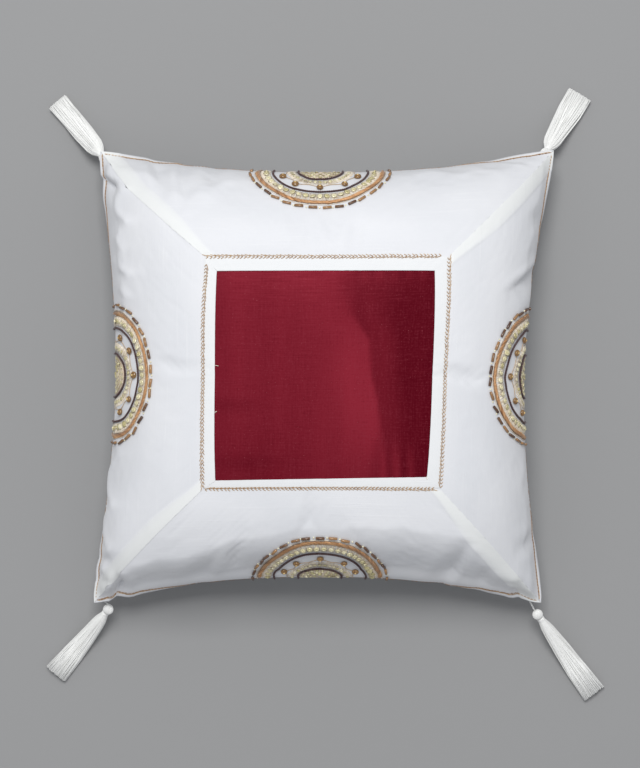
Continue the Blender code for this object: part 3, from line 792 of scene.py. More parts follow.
def grid_normals(points):
    """The way out of a grid of points."""
    return unit(np.cross(np.gradient(points, axis=1), np.gradient(points, axis=0)))


def build_border(side):
    inner = [CENTRE_RING, CENTRE_RING + 0.004, (CENTRE_RING + HEM_RING) / 2, HEM_RING - 0.008, HEM_RING - 0.003]
    rings = np.concatenate([inner, 1 - (1 - np.linspace(0, 1, BORDER_ROWS)) ** 1.0 * (1 - HEM_RING), [FLANGE_END]])
    corners = [ring_corner(corner, np.minimum(rings, 1.0)) for corner in SIDE_ENDS[side]]
    lengths = np.linalg.norm(corners[1] - corners[0], axis=-1) * HALF
    grown = soft_step(rings, HEM_RING, 0.72)
    band = BAND_WIDTH["frame"] + (BAND_WIDTH["outer"] - BAND_WIDTH["frame"]) * grown
    near = np.concatenate([BAND_STEPS, [0.0, 0.0, 0.0, 0.0]])[None, :] * np.ones((len(rings), 1))
    near[:, len(BAND_STEPS) :] = band[:, None] + np.array([-BAND_EDGE, 0.0, BAND_EDGE, 0.003])
    near[:, : len(BAND_STEPS)] = np.minimum(near[:, : len(BAND_STEPS)], (band * 0.8)[:, None])
    rest = np.linspace(0, 1, BORDER_COLUMNS + 1)[1:-1]
    far = near[:, -1:] + (lengths[:, None] - END_STEPS[0] - near[:, -1:]) * rest[None, :]
    distance = np.concatenate([near, far, lengths[:, None] - END_STEPS[None, :]], axis=1)
    along = distance / lengths[:, None] * 2 - 1
    ring = np.repeat(rings[:, None], distance.shape[1], axis=1)
    a, b = on_border(side, along, ring)
    hem = 1 - soft_step(ring, HEM_RING - 0.006, HEM_RING)
    doubled = 1 - soft_step(distance, band[:, None] - BAND_EDGE, band[:, None] + BAND_EDGE)
    doubled *= soft_step(ring, HEM_RING, HEM_RING + 0.01)
    lift = PANEL_LIFT + HEM_RAISE * hem + MITRE_RAISE * doubled
    points = cloth_place(a, b)
    points = points + grid_normals(points) * lift[..., None]
    rows, columns = ring.shape
    builder = grid_builder(columns, rows)
    mesh = bpy.data.meshes.new("border_" + side)
    builder.to_mesh(mesh)
    builder.free()
    put_points(mesh, points.reshape(-1, 3))
    middle = (distance - lengths[:, None] / 2).reshape(-1)
    turn = list(SIDE_ENDS).index(side)
    add_pattern_map(mesh, np.stack([middle + turn, ring.reshape(-1) * HALF], axis=-1))
    soft_band = 1 - soft_step(distance, band[:, None] - 0.003, band[:, None] + 0.0015)
    soft_band *= soft_step(ring, HEM_RING - 0.002, HEM_RING + 0.004)
    add_point_numbers(mesh, "layers", np.maximum(0.55 * (1 - soft_step(ring, HEM_RING - 0.004, HEM_RING)), soft_band))
    piece = add_piece("border_panel_" + side, mesh, WHITE_DUPION, ["border_" + side])
    finish_cloth(piece, PANEL_CLOTH)
    return piece


border_panels = {side: build_border(side) for side in SIDES}

# ---- The satin centre ----
CENTRE_STEPS = 64
CENTRE_FOLDS = (
    {"at": -0.36, "lean": 0.10, "width": 0.020, "height": 0.0010},
    {"at": 0.02, "lean": 0.16, "width": 0.034, "height": 0.0022},
    {"at": 0.20, "lean": 0.12, "width": 0.014, "height": -0.0008},
    {"at": 0.31, "lean": 0.05, "width": 0.013, "height": 0.0007},
)


# The east end of the painted highlight on the satin, as across and up shares
SHEEN_EDGE_LINE = ((-0.45, 0.21), (-0.25, 0.25), (-0.10, 0.234), (0.0, 0.207), (0.15, 0.193), (0.26, 0.119), (0.45, 0.088))


def painted_satin_sheen(a, b):
    """Painted sheen on the satin: painted light west of a wavering line with a painted highlight band along it, painted
    shade east of it, two painted dark dips and painted highlight stripes.
    """
    rows, line = np.array(SHEEN_EDGE_LINE).T
    off = a - np.interp(b, rows, line)
    # Painted highlight band along the line.
    band = 0.50 * np.exp(-(((b + 0.03) / 0.34) ** 2) - ((off + 0.07) / 0.11) ** 2)
    lit = 0.54 + band - 0.12 * soft_step(-b, 0.05, 0.40) * soft_step(-a, -0.1, 0.3)
    # Two painted shade dips.
    lit -= 0.20 * np.exp(-(((a + 0.38) / 0.12) ** 2) - ((b + 0.12) / 0.03) ** 2)
    lit -= 0.16 * np.exp(-(((a + 0.32) / 0.14) ** 2) - ((b + 0.36) / 0.03) ** 2)
    # Painted shade east of the line.
    deep = 0.24 - 0.24 * soft_step(off, 0.05, 0.17)
    blur = 0.010 + 0.05 * soft_step(np.abs(b), 0.18, 0.40)
    painted_sheen = lit + (deep - lit) * soft_step(off, -blur, blur)
    # Painted highlight stripes, at the lower right and along the top.
    sheen_streaks = 0.5 + 0.5 * np.cos(a * 2 * math.pi / 0.06 + 4 * b)
    painted_sheen += 0.46 * sheen_streaks * soft_step(-b, 0.24, 0.38) * soft_step(a, 0.22, 0.27) * (1 - soft_step(a, 0.36, 0.42))
    return np.clip(painted_sheen + 0.20 * sheen_streaks * soft_step(b, 0.36, 0.42) * soft_step(a, 0.08, 0.14), 0, 1)


def build_centre():
    even = np.linspace(-1, 1, CENTRE_STEPS + 1)
    u, v = np.meshgrid(even, even)
    reach = 1 + TUCK_UNDER / (CENTRE_RING * HALF)
    corners = RING_CORNERS[CENTRE_RING]
    a = np.where(u > 0, BOWS["east"], BOWS["west"]) * u * (1 - v**2)
    b = np.where(v > 0, BOWS["north"], BOWS["south"]) * v * (1 - u**2)
    for corner, (east, north) in CORNER_WAYS.items():
        weight = (1 + east * u) * (1 + north * v) / 4
        a = a + weight * corners[corner][0]
        b = b + weight * corners[corner][1]
    a, b = a * reach, b * reach
    lift = np.full_like(a, CENTRE_LIFT)
    inside = (1 - np.abs(u) ** 6) * (1 - np.abs(v) ** 6)
    for fold in CENTRE_FOLDS:
        line = fold["at"] - fold["lean"] * v * 0.5
        lift += fold["height"] * inside * np.exp(-(((a - line) * HALF / fold["width"]) ** 2)) * (1 - 0.3 * v)
    points = cloth_place(a, b)
    points = points + grid_normals(points) * lift[..., None]
    builder = grid_builder(CENTRE_STEPS + 1, CENTRE_STEPS + 1)
    mesh = bpy.data.meshes.new("centre_panel")
    builder.to_mesh(mesh)
    builder.free()
    put_points(mesh, points.reshape(-1, 3))
    add_pattern_map(mesh, np.stack([a, b], axis=-1).reshape(-1, 2) * HALF)
    # Painted sheen and painted shade of the satin, stored for each point.
    add_point_numbers(mesh, "painted_sheen", painted_satin_sheen(a, b))
    piece = add_piece("satin_centre", mesh, MAROON_SATIN, ["centre_panel"])
    finish_cloth(piece, CENTRE_CLOTH)
    return piece


satin_centre = build_centre()

# ---- Threads, beads and sequins, each repeated from a small template ----
def thread_template(stations, sides):
    """A closed straight thread along z: its mesh, and the station and round share of each point."""
    builder = bmesh.new()
    bmesh.ops.create_cone(
        builder, cap_ends=True, segments=sides, radius1=1, radius2=1, depth=stations - 1
    )
    if stations > 2:
        long_edges = [e for e in builder.edges if abs(e.verts[0].co.z - e.verts[1].co.z) > 0.5]
        bmesh.ops.subdivide_edges(builder, edges=long_edges, cuts=stations - 2, use_grid_fill=True)
    return template_of(builder)


def template_of(builder):
    """A template's mesh and its points."""
    mesh = bpy.data.meshes.new("template")
    builder.to_mesh(mesh)
    builder.free()
    return mesh, points_of(mesh)


def points_of(mesh):
    points = np.empty(len(mesh.vertices) * 3, np.float32)
    mesh.vertices.foreach_get("co", points)
    return points.reshape(-1, 3)


def bead_template(segments=8, rings=5):
    builder = bmesh.new()
    bmesh.ops.create_uvsphere(builder, u_segments=segments, v_segments=rings, radius=1)
    return template_of(builder)


def sequin_template():
    """A small faceted disc with a bevelled rim and a hollow middle."""
    builder = bmesh.new()
    bmesh.ops.create_cone(builder, cap_ends=True, segments=8, radius1=1, radius2=0.62, depth=0.22)
    top = [f for f in builder.faces if len(f.verts) == 8 and f.calc_center_median().z > 0]
    bmesh.ops.inset_region(builder, faces=top, thickness=0.3, depth=-0.12)
    return template_of(builder)


class Trim:
    """One kind of trimming, gathered from many repeated small shapes."""

    def __init__(self):
        self.builder = bmesh.new()
        self.points = []
        self.tints = []

    def add(self, template, points, tints):
        for _ in range(len(points)):
            self.builder.from_mesh(template)
        self.points.append(points.reshape(-1, 3))
        self.tints.append(np.repeat(np.broadcast_to(tints, len(points)), points.shape[1]))

    def threads(self, centres, ups, wide, high=None, tints=0.5, sides=4):
        """Threads along rows of centres, each with its way up, half width and half height."""
        stations = centres.shape[1]
        mesh, shape = thread_template(stations, sides)
        station = np.clip(np.round(shape[:, 2] + (stations - 1) / 2).astype(int), 0, stations - 1)
        along = unit(np.gradient(centres, axis=1))
        across = unit(np.cross(ups, along))
        over = unit(np.cross(along, across))
        wide = np.broadcast_to(wide, centres.shape[:2])[..., None]
        high = wide if high is None else np.broadcast_to(high, centres.shape[:2])[..., None]
        side = (across * wide)[:, station] * shape[:, 0][None, :, None]
        rise = (over * high)[:, station] * shape[:, 1][None, :, None]
        self.add(mesh, centres[:, station] + side + rise, tints)

    def shapes(self, template, centres, alongs, ups, sizes, tints=0.5):
        """Copies of a template, its x turned along and its z turned up, with their three half sizes."""
        mesh, shape = template
        ups = unit(ups)
        across = unit(np.cross(ups, alongs))
        along = np.cross(across, ups)
        sizes = np.broadcast_to(sizes, (len(centres), 3))
        points = centres[:, None, :].copy()
        for axis, way in enumerate((along, across, ups)):
            points = points + way[:, None, :] * (sizes[:, None, axis] * shape[None, :, axis])[..., None]
        self.add(mesh, points, tints)

    def finish(self, name, material, slot, replaces=()):
        mesh = bpy.data.meshes.new(name)
        self.builder.to_mesh(mesh)
        self.builder.free()
        put_points(mesh, np.concatenate(self.points))
        add_point_numbers(mesh, "tint", np.concatenate(self.tints))
        return add_piece(name, mesh, material, replaces)


def on_panel(a, b, lift=0.0):
    """Points a lift above the panels' cloth, and the way out there."""
    place, out = cloth_frame(a, b)[:2]
    return place + out * (PANEL_LIFT + np.broadcast_to(lift, place.shape[:-1]))[..., None], out


# ---- Chain stitches along the edge and round the centre ----
LINK_STATIONS = 6
# Chain forms. In each link one arm is tinted lighter and the other darker by the arm tint step: painted light and
# painted shade on the loop.
FRAME_CHAIN = {
    "pitch": 0.0031, "length": 0.0034, "width": 0.0017, "thread": 0.00031, "tint": 0.44, "arm_shade": 0.08, "sink": 0.0, "lean": 1.0,
}
EDGE_CHAIN = {
    "pitch": 0.0030, "length": 0.0037, "width": 0.0007, "thread": 0.00030, "tint": 0.42, "arm_shade": 0.32, "sink": 0.014, "lean": 0.0,
}
CHAIN_LEAN = {"north": 0.0, "east": 0.0, "south": 0.0, "west": 0.012}
FRAME_GAPS = {"north": (0.0, 0.0065), "east": (0.0, 0.0), "south": (0.0035, 0.0), "west": (0.0, 0.0018)}
EDGE_RING = 0.993


def sew_chain(trim, side, ring, gaps, form, rng):
    """A row of chain stitches along one side, each link of two arms that part and meet again."""
    corners = [ring_corner(corner, ring) for corner in SIDE_ENDS[side]]
    length = np.linalg.norm(corners[1] - corners[0]) * HALF
    lean = CHAIN_LEAN[side] * form["lean"]
    count = int((length - sum(gaps)) / form["pitch"])
    starts = gaps[0] + np.arange(count) * form["pitch"] + rng.uniform(-0.00025, 0.00025, count)
    share = np.linspace(0.0, 1.0, LINK_STATIONS)
    run = form["length"] * share
    sway = rng.normal(0, 0.00012, (count, 1))
    tints = form["tint"] + rng.normal(0, 0.06, count)
    for arm in (1, -1):
        spread = arm * form["width"] * (1 - share) ** 0.8
        distance = starts[:, None] + run[None, :]
        rings = ring + (spread[None, :] * rng.uniform(0.88, 1.1, (count, 1)) + sway) / HALF
        along = distance / length * 2 - 1
        rings = rings + form["sink"] * (1 - soft_step(np.abs(along), 0.55, 0.8))
        rings = rings - lean * soft_step(along, 0.4, 1.0)
        a, b = on_border(side, along, rings)
        height = form["thread"] * (0.3 + 1.4 * share) + HEM_RAISE * (1 - soft_step(rings, HEM_RING - 0.006, HEM_RING))
        centres, out = on_panel(a, b, height)
        # Painted light and painted shade: one arm of each link lighter, the other darker.
        trim.threads(centres, out, form["thread"], form["thread"] * 0.8, tints + arm * form["arm_shade"])


def sew_chains():
    rng = np.random.default_rng(3)
    trim = Trim()
    for side in SIDES:
        sew_chain(trim, side, HEM_RING, FRAME_GAPS[side], FRAME_CHAIN, rng)
        sew_chain(trim, side, EDGE_RING, (0.0, 0.0), EDGE_CHAIN, rng)
    return trim.finish("chain_stitches", COPPER_CHAIN, "metal_thread")


sew_chains()

# ---- The half medallions at the middles of the sides ----
SEAM_CLEAR = 0.0004
BUGLE_RING = {"radius": 0.060, "length": 0.0072, "width": 0.00115, "pitch": 0.0101}
COPPER_RING = {"radius": 0.0535, "width": 0.0035, "pitch": 0.0011, "slant": 0.0070}
SEQUIN_RING = {"radius": 0.0465, "size": 0.0027, "pitch": 0.0056}
GROUNDS = ((0.0428, 0.0508), (0.0210, 0.0284))
DARK_CORDS = (0.041, 0.0195)
DARK_PLY = 0.00056
CREAM_THREADS = (0.0513, 0.0562)
BOBBLE_RING = {"radius": 0.0345, "size": 0.0030, "angles": (25, 54, 90, 126, 155)}
SCALLOP = {"radius": 0.0292, "peak": 0.0026, "spread": 11}
BEAD_RING = {"radius": 0.0248, "size": 0.0017, "pitch": 0.0040}
CENTRE_RINGS = (0.0045, 0.0083, 0.0121, 0.0158)


def depths_of(side):
    """Even depths of rings, and how deep over the cloth each must lie to show where it should from above."""
    east, north = SIDE_OUT[side]
    deep = np.linspace(0.0, 0.085, 171)
    place = on_panel(east * (1 - deep / HALF), north * (1 - deep / HALF), 0.0008)[0]
    seam = cloth_place(float(east), float(north))
    way = np.array([east, north, 0.0])
    shown = place @ way / (EYE_HEIGHT - place[:, 2])
    inside = (seam @ way / (EYE_HEIGHT - seam[2]) - shown) * (EYE_HEIGHT - seam[2])
    inside = np.maximum.accumulate(inside) + np.arange(len(deep)) * 1e-7
    even = np.linspace(LEG, RING_SIGHTS[side][0][-1], 90)
    laid = np.interp(np.interp(even, *RING_SIGHTS[side]), inside, deep)
    known = np.array(RING_SIGHTS[side][0])
    straight = np.interp(even, known, np.append(0.0, np.interp(known[1:], even, laid)))
    laid += (straight - laid) * ROUND_SHARE
    return np.concatenate([[0.0], even]), np.concatenate([[0.0], laid])


ring_depths = {side: depths_of(side) for side in SIDES}


def on_medallion(side, radius, angle, lift=0.0):
    """Points at a radius and an angle of one side's half medallion, and the way out there."""
    east, north = SIDE_OUT[side]
    phase = list(SIDES).index(side) * 1.7
    radius = radius * (1 + 0.008 * np.sin(3 * angle + phase) + 0.004 * np.sin(7 * angle + 2 * phase))
    shift, outward = MEDALLION_SHIFT[side]
    inward = 1 - np.interp(radius * np.sin(angle) - outward, *ring_depths[side]) / HALF
    along = (radius * np.cos(angle) + shift) / HALF
    return on_panel(east * inward - north * along, north * inward + east * along, lift)


def arc_angles(side, radius, count, clear=SEAM_CLEAR):
    """Angles from seam to seam along an arc."""
    start = math.asin(min((clear + MEDALLION_SHIFT[side][1]) / radius, 0.95))
    return np.linspace(start, math.pi - start, count)


def spaced_angles(side, radius, pitch, clear=SEAM_CLEAR):
    """Angles of stitches or beads along an arc, evenly spaced over the cloth."""
    fine = arc_angles(side, radius, 161, clear)
    steps = np.linalg.norm(np.diff(on_medallion(side, radius, fine)[0], axis=0), axis=1)
    run = np.concatenate([[0.0], np.cumsum(steps)])
    return np.interp(np.linspace(0, run[-1], max(2, round(run[-1] / pitch))), run, fine)


def lay_thread(trim, side, radius, thread, lift, tint, wobble=0.0002, seed=0):
    """One couched thread along an arc."""
    rng = np.random.default_rng(seed)
    angles = spaced_angles(side, radius, 0.0012)
    loose = np.interp(angles, np.linspace(0, math.pi, 15), rng.normal(0, wobble, 15))
    centres, out = on_medallion(side, radius + loose, angles, lift)
    trim.threads(centres[None], out[None], thread, thread * 0.9, tint)


def lay_twisted_cord(trim, side, radius, rng):
    """A dark cord of two plies twisted round each other."""
    angles = spaced_angles(side, radius, 0.0036 / 7)
    turns = len(angles) / 7
    wobble = np.interp(angles, np.linspace(0, math.pi, 13), rng.normal(0, 0.0002, 13))
    for ply in (0, math.pi):
        turn = np.linspace(0, turns * 2 * math.pi, len(angles)) + ply
        centres, out = on_medallion(side, radius + wobble + DARK_PLY * 0.85 * np.cos(turn), angles)
        centres = centres + out * (DARK_PLY * (1.5 + 0.85 * np.sin(turn)))[:, None]
        trim.threads(centres[None], out[None], DARK_PLY, tints=0.12 + 0.16 * (ply > 0))


def cross_stitches(trim, side, inner, outer, pitch, slant, thread, tints, rng, lift=0.0004):
    """Close stitches across an arc's band, slanted along it by a length."""
    middle = (inner + outer) / 2
    starts = spaced_angles(side, middle, pitch, SEAM_CLEAR + slant * 0.2)
    share = np.linspace(0, 1, 5)[None, :]
    lean = slant / middle * (share - 0.5)
    angles = np.clip(starts[:, None] + lean + rng.normal(0, 0.004, (len(starts), 1)), 0.02, math.pi - 0.02)
    radius = inner + (outer - inner) * share + rng.normal(0, 0.00012, (len(starts), 1))
    centres, out = on_medallion(side, radius, angles, lift + 0.0004 * np.sin(math.pi * share))
    trim.threads(centres, out, thread, thread * 0.8, tints(len(starts)), sides=3)


# Loose thread ends at the satin's edge: where each starts and the way it lies on the flat cover, and its curl
LOOSE_ENDS = (
    ((-0.444, 0.047), (1.0, -0.4), 0.0034, 0.3),
    ((-0.441, -0.150), (1.0, 0.3), 0.0028, 0.4),
    ((0.442, -0.416), (-1.0, 0.2), 0.0044, 3.6),
)


def loose_ends(trim):
    """The few white thread ends that stand out from under the hem."""
    share = np.linspace(0, 1, 9)
    for start, way, length, curl in LOOSE_ENDS:
        turn = math.atan2(way[1], way[0]) + curl * share
        step = length / HALF / len(share)
        a = start[0] + np.cumsum(np.cos(turn)) * step
        b = start[1] + np.cumsum(np.sin(turn)) * step
        centres, out = on_panel(a, b, 0.0004 + 0.0006 * np.sin(math.pi * share))
        trim.threads(centres[None], out[None], 0.00022, tints=1.0)


def medallion_threads(rng):
    """The couched threads of all four medallions, light ones and copper ones apart."""
    copper, cream, dark = Trim(), Trim(), Trim()
    for number, side in enumerate(SIDES):
        width = COPPER_RING["width"] / 2
        cross_stitches(
            copper, side, COPPER_RING["radius"] - width, COPPER_RING["radius"] + width, COPPER_RING["pitch"],
            COPPER_RING["slant"], 0.00048, lambda count: np.clip(rng.normal(0.5, 0.2, count), 0, 1), rng, 0.0007,
        )
        for radius in CREAM_THREADS:
            lay_thread(cream, side, radius, 0.00034, 0.0003, 0.72, seed=number)
        for inner, outer in GROUNDS:
            cross_stitches(
                cream, side, inner, outer, 0.00085, 0.001, 0.00046,
                lambda count: rng.uniform(0.55, 1.0, count), rng, 0.0001,
            )
        for radius in np.arange(0.0016, 0.0186, 0.0010):
            lay_thread(cream, side, radius, 0.00052, 0.0002, rng.uniform(0.35, 0.75), seed=number)
        angles = spaced_angles(side, SCALLOP["radius"], 0.0013)
        peaks = [math.exp(-(((np.degrees(t) - p) / SCALLOP["spread"]) ** 2)) for t in angles for p in BOBBLE_RING["angles"]]
        peaks = np.array(peaks).reshape(len(angles), -1).max(1)
        centres, out = on_medallion(side, SCALLOP["radius"] + SCALLOP["peak"] * peaks, angles, 0.0003)
        cream.threads(centres[None], out[None], 0.00042, 0.00036, 0.18)
        for radius in DARK_CORDS:
            lay_twisted_cord(dark, side, radius, rng)
    loose_ends(cream)
    copper.finish("copper_rings", COPPER_BRAID, "metal_thread")
    cream.finish("pale_stitches", PALE_THREAD, "metal_thread")
    dark.finish("dark_cords", DARK_CORD, "metal_thread")


def set_round(trim, template, side, radius, angles, size, flat, tints, rng, lift=0.0006, tilt=0.2):
    """Beads or sequins set along an arc, each a little turned and tilted its own way."""
    centres, out = on_medallion(side, radius, angles, lift)
    ahead = on_medallion(side, radius, angles + 0.01, lift)[0] - centres
    out = unit(out + rng.normal(0, tilt, out.shape))
    ahead = unit(ahead) + rng.normal(0, 0.3, ahead.shape)
    sizes = size * rng.uniform(0.92, 1.06, (len(angles), 1)) * np.array([[1, 1, flat]])
    trim.shapes(template, centres, ahead, out, sizes, tints)


def medallion_beads(rng):
    bugles, sequins, bobbles = Trim(), Trim(), Trim()
    bead, round_bead, sequin = bead_template(7, 4), bead_template(12, 8), sequin_template()
    for side in SIDES:
        radius = BUGLE_RING["radius"]
        middles = spaced_angles(side, radius, BUGLE_RING["pitch"], 0.0022)
        count = len(middles)
        half = 0.03
        ends = middles[:, None] + np.array([[-half, half]]) + rng.normal(0, 0.012, (count, 1))
        ends_at, out = on_medallion(side, radius + rng.normal(0, 0.0004, (count, 2)), ends, 0.0012)
        share = np.array([-0.5, -0.47, 0.47, 0.5])[None, :, None]
        ways = unit(ends_at[:, 1:] - ends_at[:, :1])
        centres = ends_at.mean(1)[:, None, :] + ways * share * BUGLE_RING["length"]
        taper = np.array([[0.72, 1.0, 1.0, 0.72]]) * BUGLE_RING["width"]
        ups = np.repeat(out.mean(1)[:, None, :], 4, axis=1)
        tints = np.clip(rng.choice([0.08, 0.2, 0.55, 0.8], count) + rng.normal(0, 0.06, count), 0, 1)
        bugles.threads(centres, ups, taper, tints=tints, sides=6)
        gaps = (middles[1:] + middles[:-1]) / 2
        set_round(sequins, bead, side, radius, gaps, 0.0008, 0.8, rng.uniform(0.8, 1.0, len(gaps)), rng)
        angles = spaced_angles(side, SEQUIN_RING["radius"], SEQUIN_RING["pitch"], 0.0026)
        tints = rng.uniform(0.25, 0.9, len(angles))
        set_round(sequins, sequin, side, SEQUIN_RING["radius"], angles, SEQUIN_RING["size"], 1, tints, rng, 0.0013)
        set_round(sequins, bead, side, SEQUIN_RING["radius"], angles, 0.0007, 0.8, tints + 0.1, rng, 0.0019)
        angles = spaced_angles(side, BEAD_RING["radius"], BEAD_RING["pitch"], 0.0022)
        tints = rng.uniform(0.2, 0.85, len(angles))
        set_round(sequins, sequin, side, BEAD_RING["radius"], angles, BEAD_RING["size"], 1, tints, rng, 0.0011)
        for radius in CENTRE_RINGS:
            angles = spaced_angles(side, radius, 0.0040, 0.0022)
            tints = rng.uniform(0.2, 0.8, len(angles))
            set_round(sequins, sequin, side, radius, angles, 0.0017, 1, tints, rng, 0.0012, 0.3)
        angles = np.radians(BOBBLE_RING["angles"])
        sizes = BOBBLE_RING["size"]
        set_round(bobbles, round_bead, side, BOBBLE_RING["radius"], angles, sizes, 0.62, 0.12, rng, 0.0014, 0.08)
        set_round(bobbles, bead, side, BOBBLE_RING["radius"], angles, 0.0011, 0.8, 0.95, rng, 0.0028, 0.08)
    bugles.finish("bugle_beads", BUGLE_GLASS, "gilt_beads")
    sequins.finish("gold_sequins", GOLD_SEQUIN, "gilt_beads")
    bobbles.finish("amber_bobbles", AMBER_BEAD, "gilt_beads")


medallion_threads(np.random.default_rng(11))
medallion_beads(np.random.default_rng(12))

# ---- Corner tassels ----
TASSELS = {
    "nw": {"anchor": (0.003, -0.003), "head": (0.0010, -0.0030), "tip": (-0.2240, 0.2340), "width": 0.0165, "shoulder": 1.0},
    "ne": {"anchor": (-0.003, -0.003), "head": (-0.0045, 0.0000), "tip": (0.2195, 0.2400), "width": 0.0205, "shoulder": 0.9},
    "se": {"anchor": (-0.0085, 0.0010), "head": (-0.0005, -0.0125), "tip": (0.2315, -0.2685), "width": 0.0200, "shoulder": 0.35},
    "sw": {"anchor": (0.005, 0.001), "head": (0.0095, -0.0080), "tip": (-0.2255, -0.2520), "width": 0.0190, "shoulder": 0.4},
}
HEAD_Z = CORNER_Z - BACK_CLOTH - 0.0095
HEAD_RADIUS = 0.0041
SKIRT_THICKNESS = 0.0066
LEVEL_FROM = 0.70
# Half width and half thickness of the bundle from the knotted head down to the cut end
BUNDLE = (
    (0.040, 0.0026, 0.0026),
    (0.062, 0.0024, 0.0024),
    (0.095, 0.0036, 0.0031),
    (0.150, 0.0060, 0.0038),
    (0.220, 0.0073, 0.0039),
    (0.450, 0.0080, 0.0037),
    (0.700, 0.0090, 0.0034),
    (1.000, 0.0100, 0.0031),
)
SKIRT_ROWS = 7
SKIRT_COLUMNS = 31


class Tassel:
    """The middle line of one tassel, from its head under the corner down to its cut end on the floor."""

    def __init__(self, corner):
        form = TASSELS[corner]
        self.corner = np.array(CORNERS[corner])
        self.anchor = self.corner + np.array(form["anchor"])
        self.head = self.corner + np.array(form["head"])
        plan = np.array(form["tip"]) - self.head
        self.length = np.linalg.norm(plan)
        self.way = np.append(plan / self.length, 0.0)
        self.across = np.array([self.way[1], -self.way[0], 0.0])
        self.width = form["width"]
        table = np.array(BUNDLE)
        self.shares, self.thick = table[:, 0], table[:, 2]
        conical = 0.0026 + (self.width / 2 - 0.0026) * np.clip((self.shares - 0.06) / 0.94, 0, 1) ** 0.85
        fuller = table[:, 1] * (1 - soft_step(self.shares, 0.2, 1.0)) + self.width / 2 * soft_step(self.shares, 0.2, 1.0)
        self.half_widths = conical + (np.minimum(fuller, self.width / 2) - conical) * form["shoulder"]

    def middle(self, share):
        """Points of the middle line."""
        left = np.maximum(0.0, 1 - np.maximum(share, 0.0) / LEVEL_FROM) ** 1.6
        height = SKIRT_THICKNESS / 2 + (HEAD_Z - SKIRT_THICKNESS / 2) * left
        place = np.append(self.head, 0.0) + self.way * (self.length * share)[..., None]
        place[..., 2] = height
        return place

    def up(self, share):
        ahead = unit(self.middle(share + 0.01) - self.middle(share - 0.01))
        return unit(np.cross(np.broadcast_to(self.across, ahead.shape), ahead))

    def skirt_threads(self, trim, rng):
        """The silky threads of the skirt: round at the neck and spread flat at the cut end."""
        column, row = np.meshgrid(np.arange(SKIRT_COLUMNS), np.arange(SKIRT_ROWS))
        u = ((column + 0.5 * (row % 2)) / (SKIRT_COLUMNS - 0.5) * 2 - 1).ravel()
        v = (row / (SKIRT_ROWS - 1) * 2 - 1).ravel()
        u = np.clip(u + rng.normal(0, 0.025, u.shape), -1, 1)
        v = np.clip(v + rng.normal(0, 0.06, v.shape), -1, 1)
        round_u, round_v = u * np.sqrt(1 - v * v / 2), v * np.sqrt(1 - u * u / 2)
        shares = self.shares
        spread = soft_step(shares, 0.15, 0.9)[None, :]
        flat_v = v * np.sqrt(1 - 0.75 * np.abs(u) ** 3)
        across = round_u[:, None] * (1 - spread) + u[:, None] * spread
        over = round_v[:, None] * (1 - spread) + flat_v[:, None] * spread
        cut = rng.uniform(-0.0014, 0.0, (len(u), 1)) / self.length
        share = np.repeat(shares[None, :], len(u), axis=0) + cut * (shares > 0.9)
        sway = rng.normal(0, 0.0006, (len(u), 1)) * np.sin(math.pi * np.clip(shares, 0, 1))[None, :]
        sway = sway + rng.normal(0, 0.00035, (len(u), 1)) * soft_step(shares, 0.4, 1.0)[None, :]
        up = self.up(share)
        centres = self.middle(share) + self.across * (across * self.half_widths + sway)[..., None]
        centres = centres + up * (over * self.thick)[..., None]
        thread = np.array([0.00030, 0.00030, 0.00034, 0.00040, 0.00042, 0.00044, 0.00044, 0.00040])
        centres[..., 2] = np.maximum(centres[..., 2], thread * 0.95)
        trim.threads(centres, up, thread[None, :], tints=rng.uniform(0.35, 1.0, len(u)))
        share = np.minimum(shares, 0.985)[None, :]
        core = self.middle(share)
        trim.threads(core, self.up(share), self.half_widths * 0.94, self.thick * 0.92, 0.6, sides=16)

    def head_threads(self, trim, rng):
        """The knotted head: threads laid over a ball and drawn in at the neck."""
        ball = self.middle(np.zeros(1))[0]
        up = self.up(np.zeros(1))[0]
        ahead = np.cross(up, self.across)
        around = np.arange(22) / 22 * 2 * math.pi
        bend = np.linspace(0.12, math.pi * 0.83, 8)
        reach = HEAD_RADIUS * np.sin(bend)[None, :, None]
        side = self.across * np.cos(around)[:, None, None] + up * np.sin(around)[:, None, None]
        centres = ball + side * reach + ahead * (HEAD_RADIUS * -np.cos(bend))[None, :, None]
        trim.threads(centres, np.broadcast_to(side, centres.shape), 0.00062, 0.0004, rng.uniform(0.35, 1.0, 22))
        trim.shapes(bead_template(14, 10), ball[None], ahead[None], up[None], HEAD_RADIUS * 0.97, 0.6)
        turn = np.linspace(0, 2 * math.pi * 5, 61)
        share = 0.046 + 0.026 * turn / turn[-1]
        round_side = self.across * np.cos(turn)[:, None] + self.up(share) * np.sin(turn)[:, None]
        wraps = self.middle(share) + round_side * 0.0028
        trim.threads(wraps[None], round_side[None], 0.00042, tints=0.8)

    def hanging_cord(self, trim):
        """The cord of two plies that comes from the seam down to the head."""
        top = np.array([*self.anchor, CORNER_Z - BACK_CLOTH - 0.0001])
        end = self.middle(np.array([-0.05]))[0]
        drop = np.array([*self.anchor, max(top[2] - 0.0035, end[2] + 0.001)])
        share = np.linspace(0, 1, 25)[:, None]
        line = top * (1 - share) ** 2 + drop * 2 * share * (1 - share) + end * share**2
        turn = share[:, 0] * 2 * math.pi * 4
        along = unit(np.gradient(line, axis=0))
        side = unit(np.cross(along, np.broadcast_to(self.way + 0.01, along.shape)))
        over = np.cross(side, along)
        for ply in (0, math.pi):
            round_side = side * np.cos(turn + ply)[:, None] + over * np.sin(turn + ply)[:, None]
            trim.threads((line + round_side * 0.0004)[None], round_side[None], 0.0005, tints=0.7)


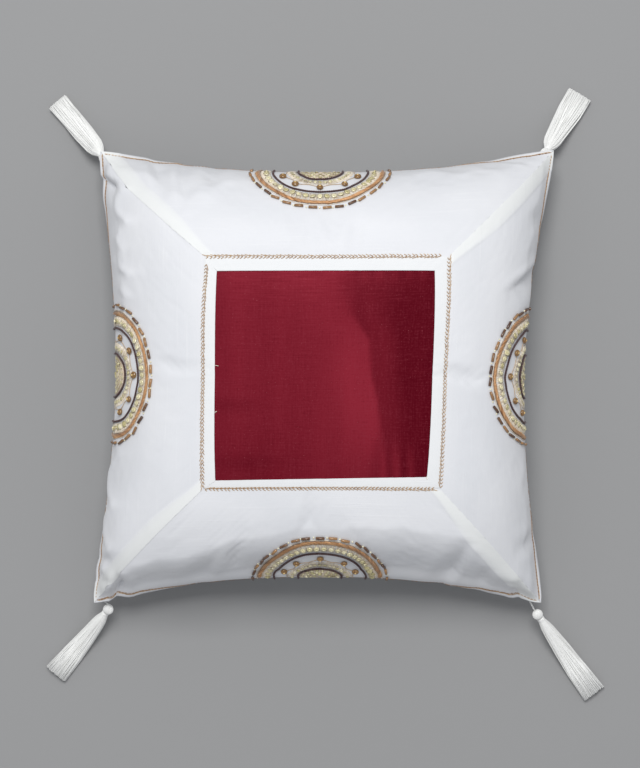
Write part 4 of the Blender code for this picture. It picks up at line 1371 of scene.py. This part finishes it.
def tie_tassels():
    for number, corner in enumerate(TASSELS):
        rng = np.random.default_rng(20 + number)
        tassel, trim = Tassel(corner), Trim()
        tassel.skirt_threads(trim, rng)
        tassel.head_threads(trim, rng)
        tassel.hanging_cord(trim)
        trim.finish("silk_tassel_" + corner, TASSEL_THREAD, "tassel_thread", ["tassel_" + corner])


tie_tassels()

# ---- Floor, light and camera ----
CAMERA_HEIGHT = 2.2
PIXEL_AT_SEAM = 0.00083
CAMERA_PLACE = (-0.0012, -0.0058, CAMERA_HEIGHT)
IMAGE_HEIGHT = 768
SENSOR = 36.0


def build_stage():
    builder = bmesh.new()
    bmesh.ops.create_grid(builder, x_segments=1, y_segments=1, size=4.0)
    mesh = bpy.data.meshes.new("floor")
    builder.to_mesh(mesh)
    builder.free()
    look = Look("floor_paint", colour=(0.30, 0.30, 0.30), roughness=0.9)
    mesh.materials.append(look.material)
    floor = bpy.data.objects.new("floor", mesh)
    bpy.context.scene.collection.objects.link(floor)


def add_light(name, place, aim, size, energy, colour=(1, 1, 1)):
    lamp = bpy.data.lights.new(name, "AREA")
    lamp.energy = energy
    lamp.size = size
    lamp.color = colour
    light = bpy.data.objects.new(name, lamp)
    light.location = place
    light.rotation_euler = (Vector(aim) - Vector(place)).to_track_quat("-Z", "Y").to_euler()
    bpy.context.scene.collection.objects.link(light)


def add_lights():
    add_light("overhead_light", (-0.17, 1.40, 3.28), (0, 0, 0.05), 1.4, 88)
    world = bpy.data.worlds.new("studio")
    world.use_nodes = True
    world.node_tree.nodes["Background"].inputs["Color"].default_value = (0.94, 0.96, 1.0, 1)
    world.node_tree.nodes["Background"].inputs["Strength"].default_value = 0.51
    bpy.context.scene.world = world
    bpy.context.scene.view_settings.view_transform = "Standard"


def add_camera():
    lens = bpy.data.cameras.new("camera")
    lens.sensor_width = SENSOR
    lens.lens = (CAMERA_HEIGHT - 0.05) / PIXEL_AT_SEAM * SENSOR / IMAGE_HEIGHT
    camera = bpy.data.objects.new("camera", lens)
    camera.location = CAMERA_PLACE
    bpy.context.scene.collection.objects.link(camera)
    bpy.context.scene.camera = camera


build_stage()
add_lights()
add_camera()
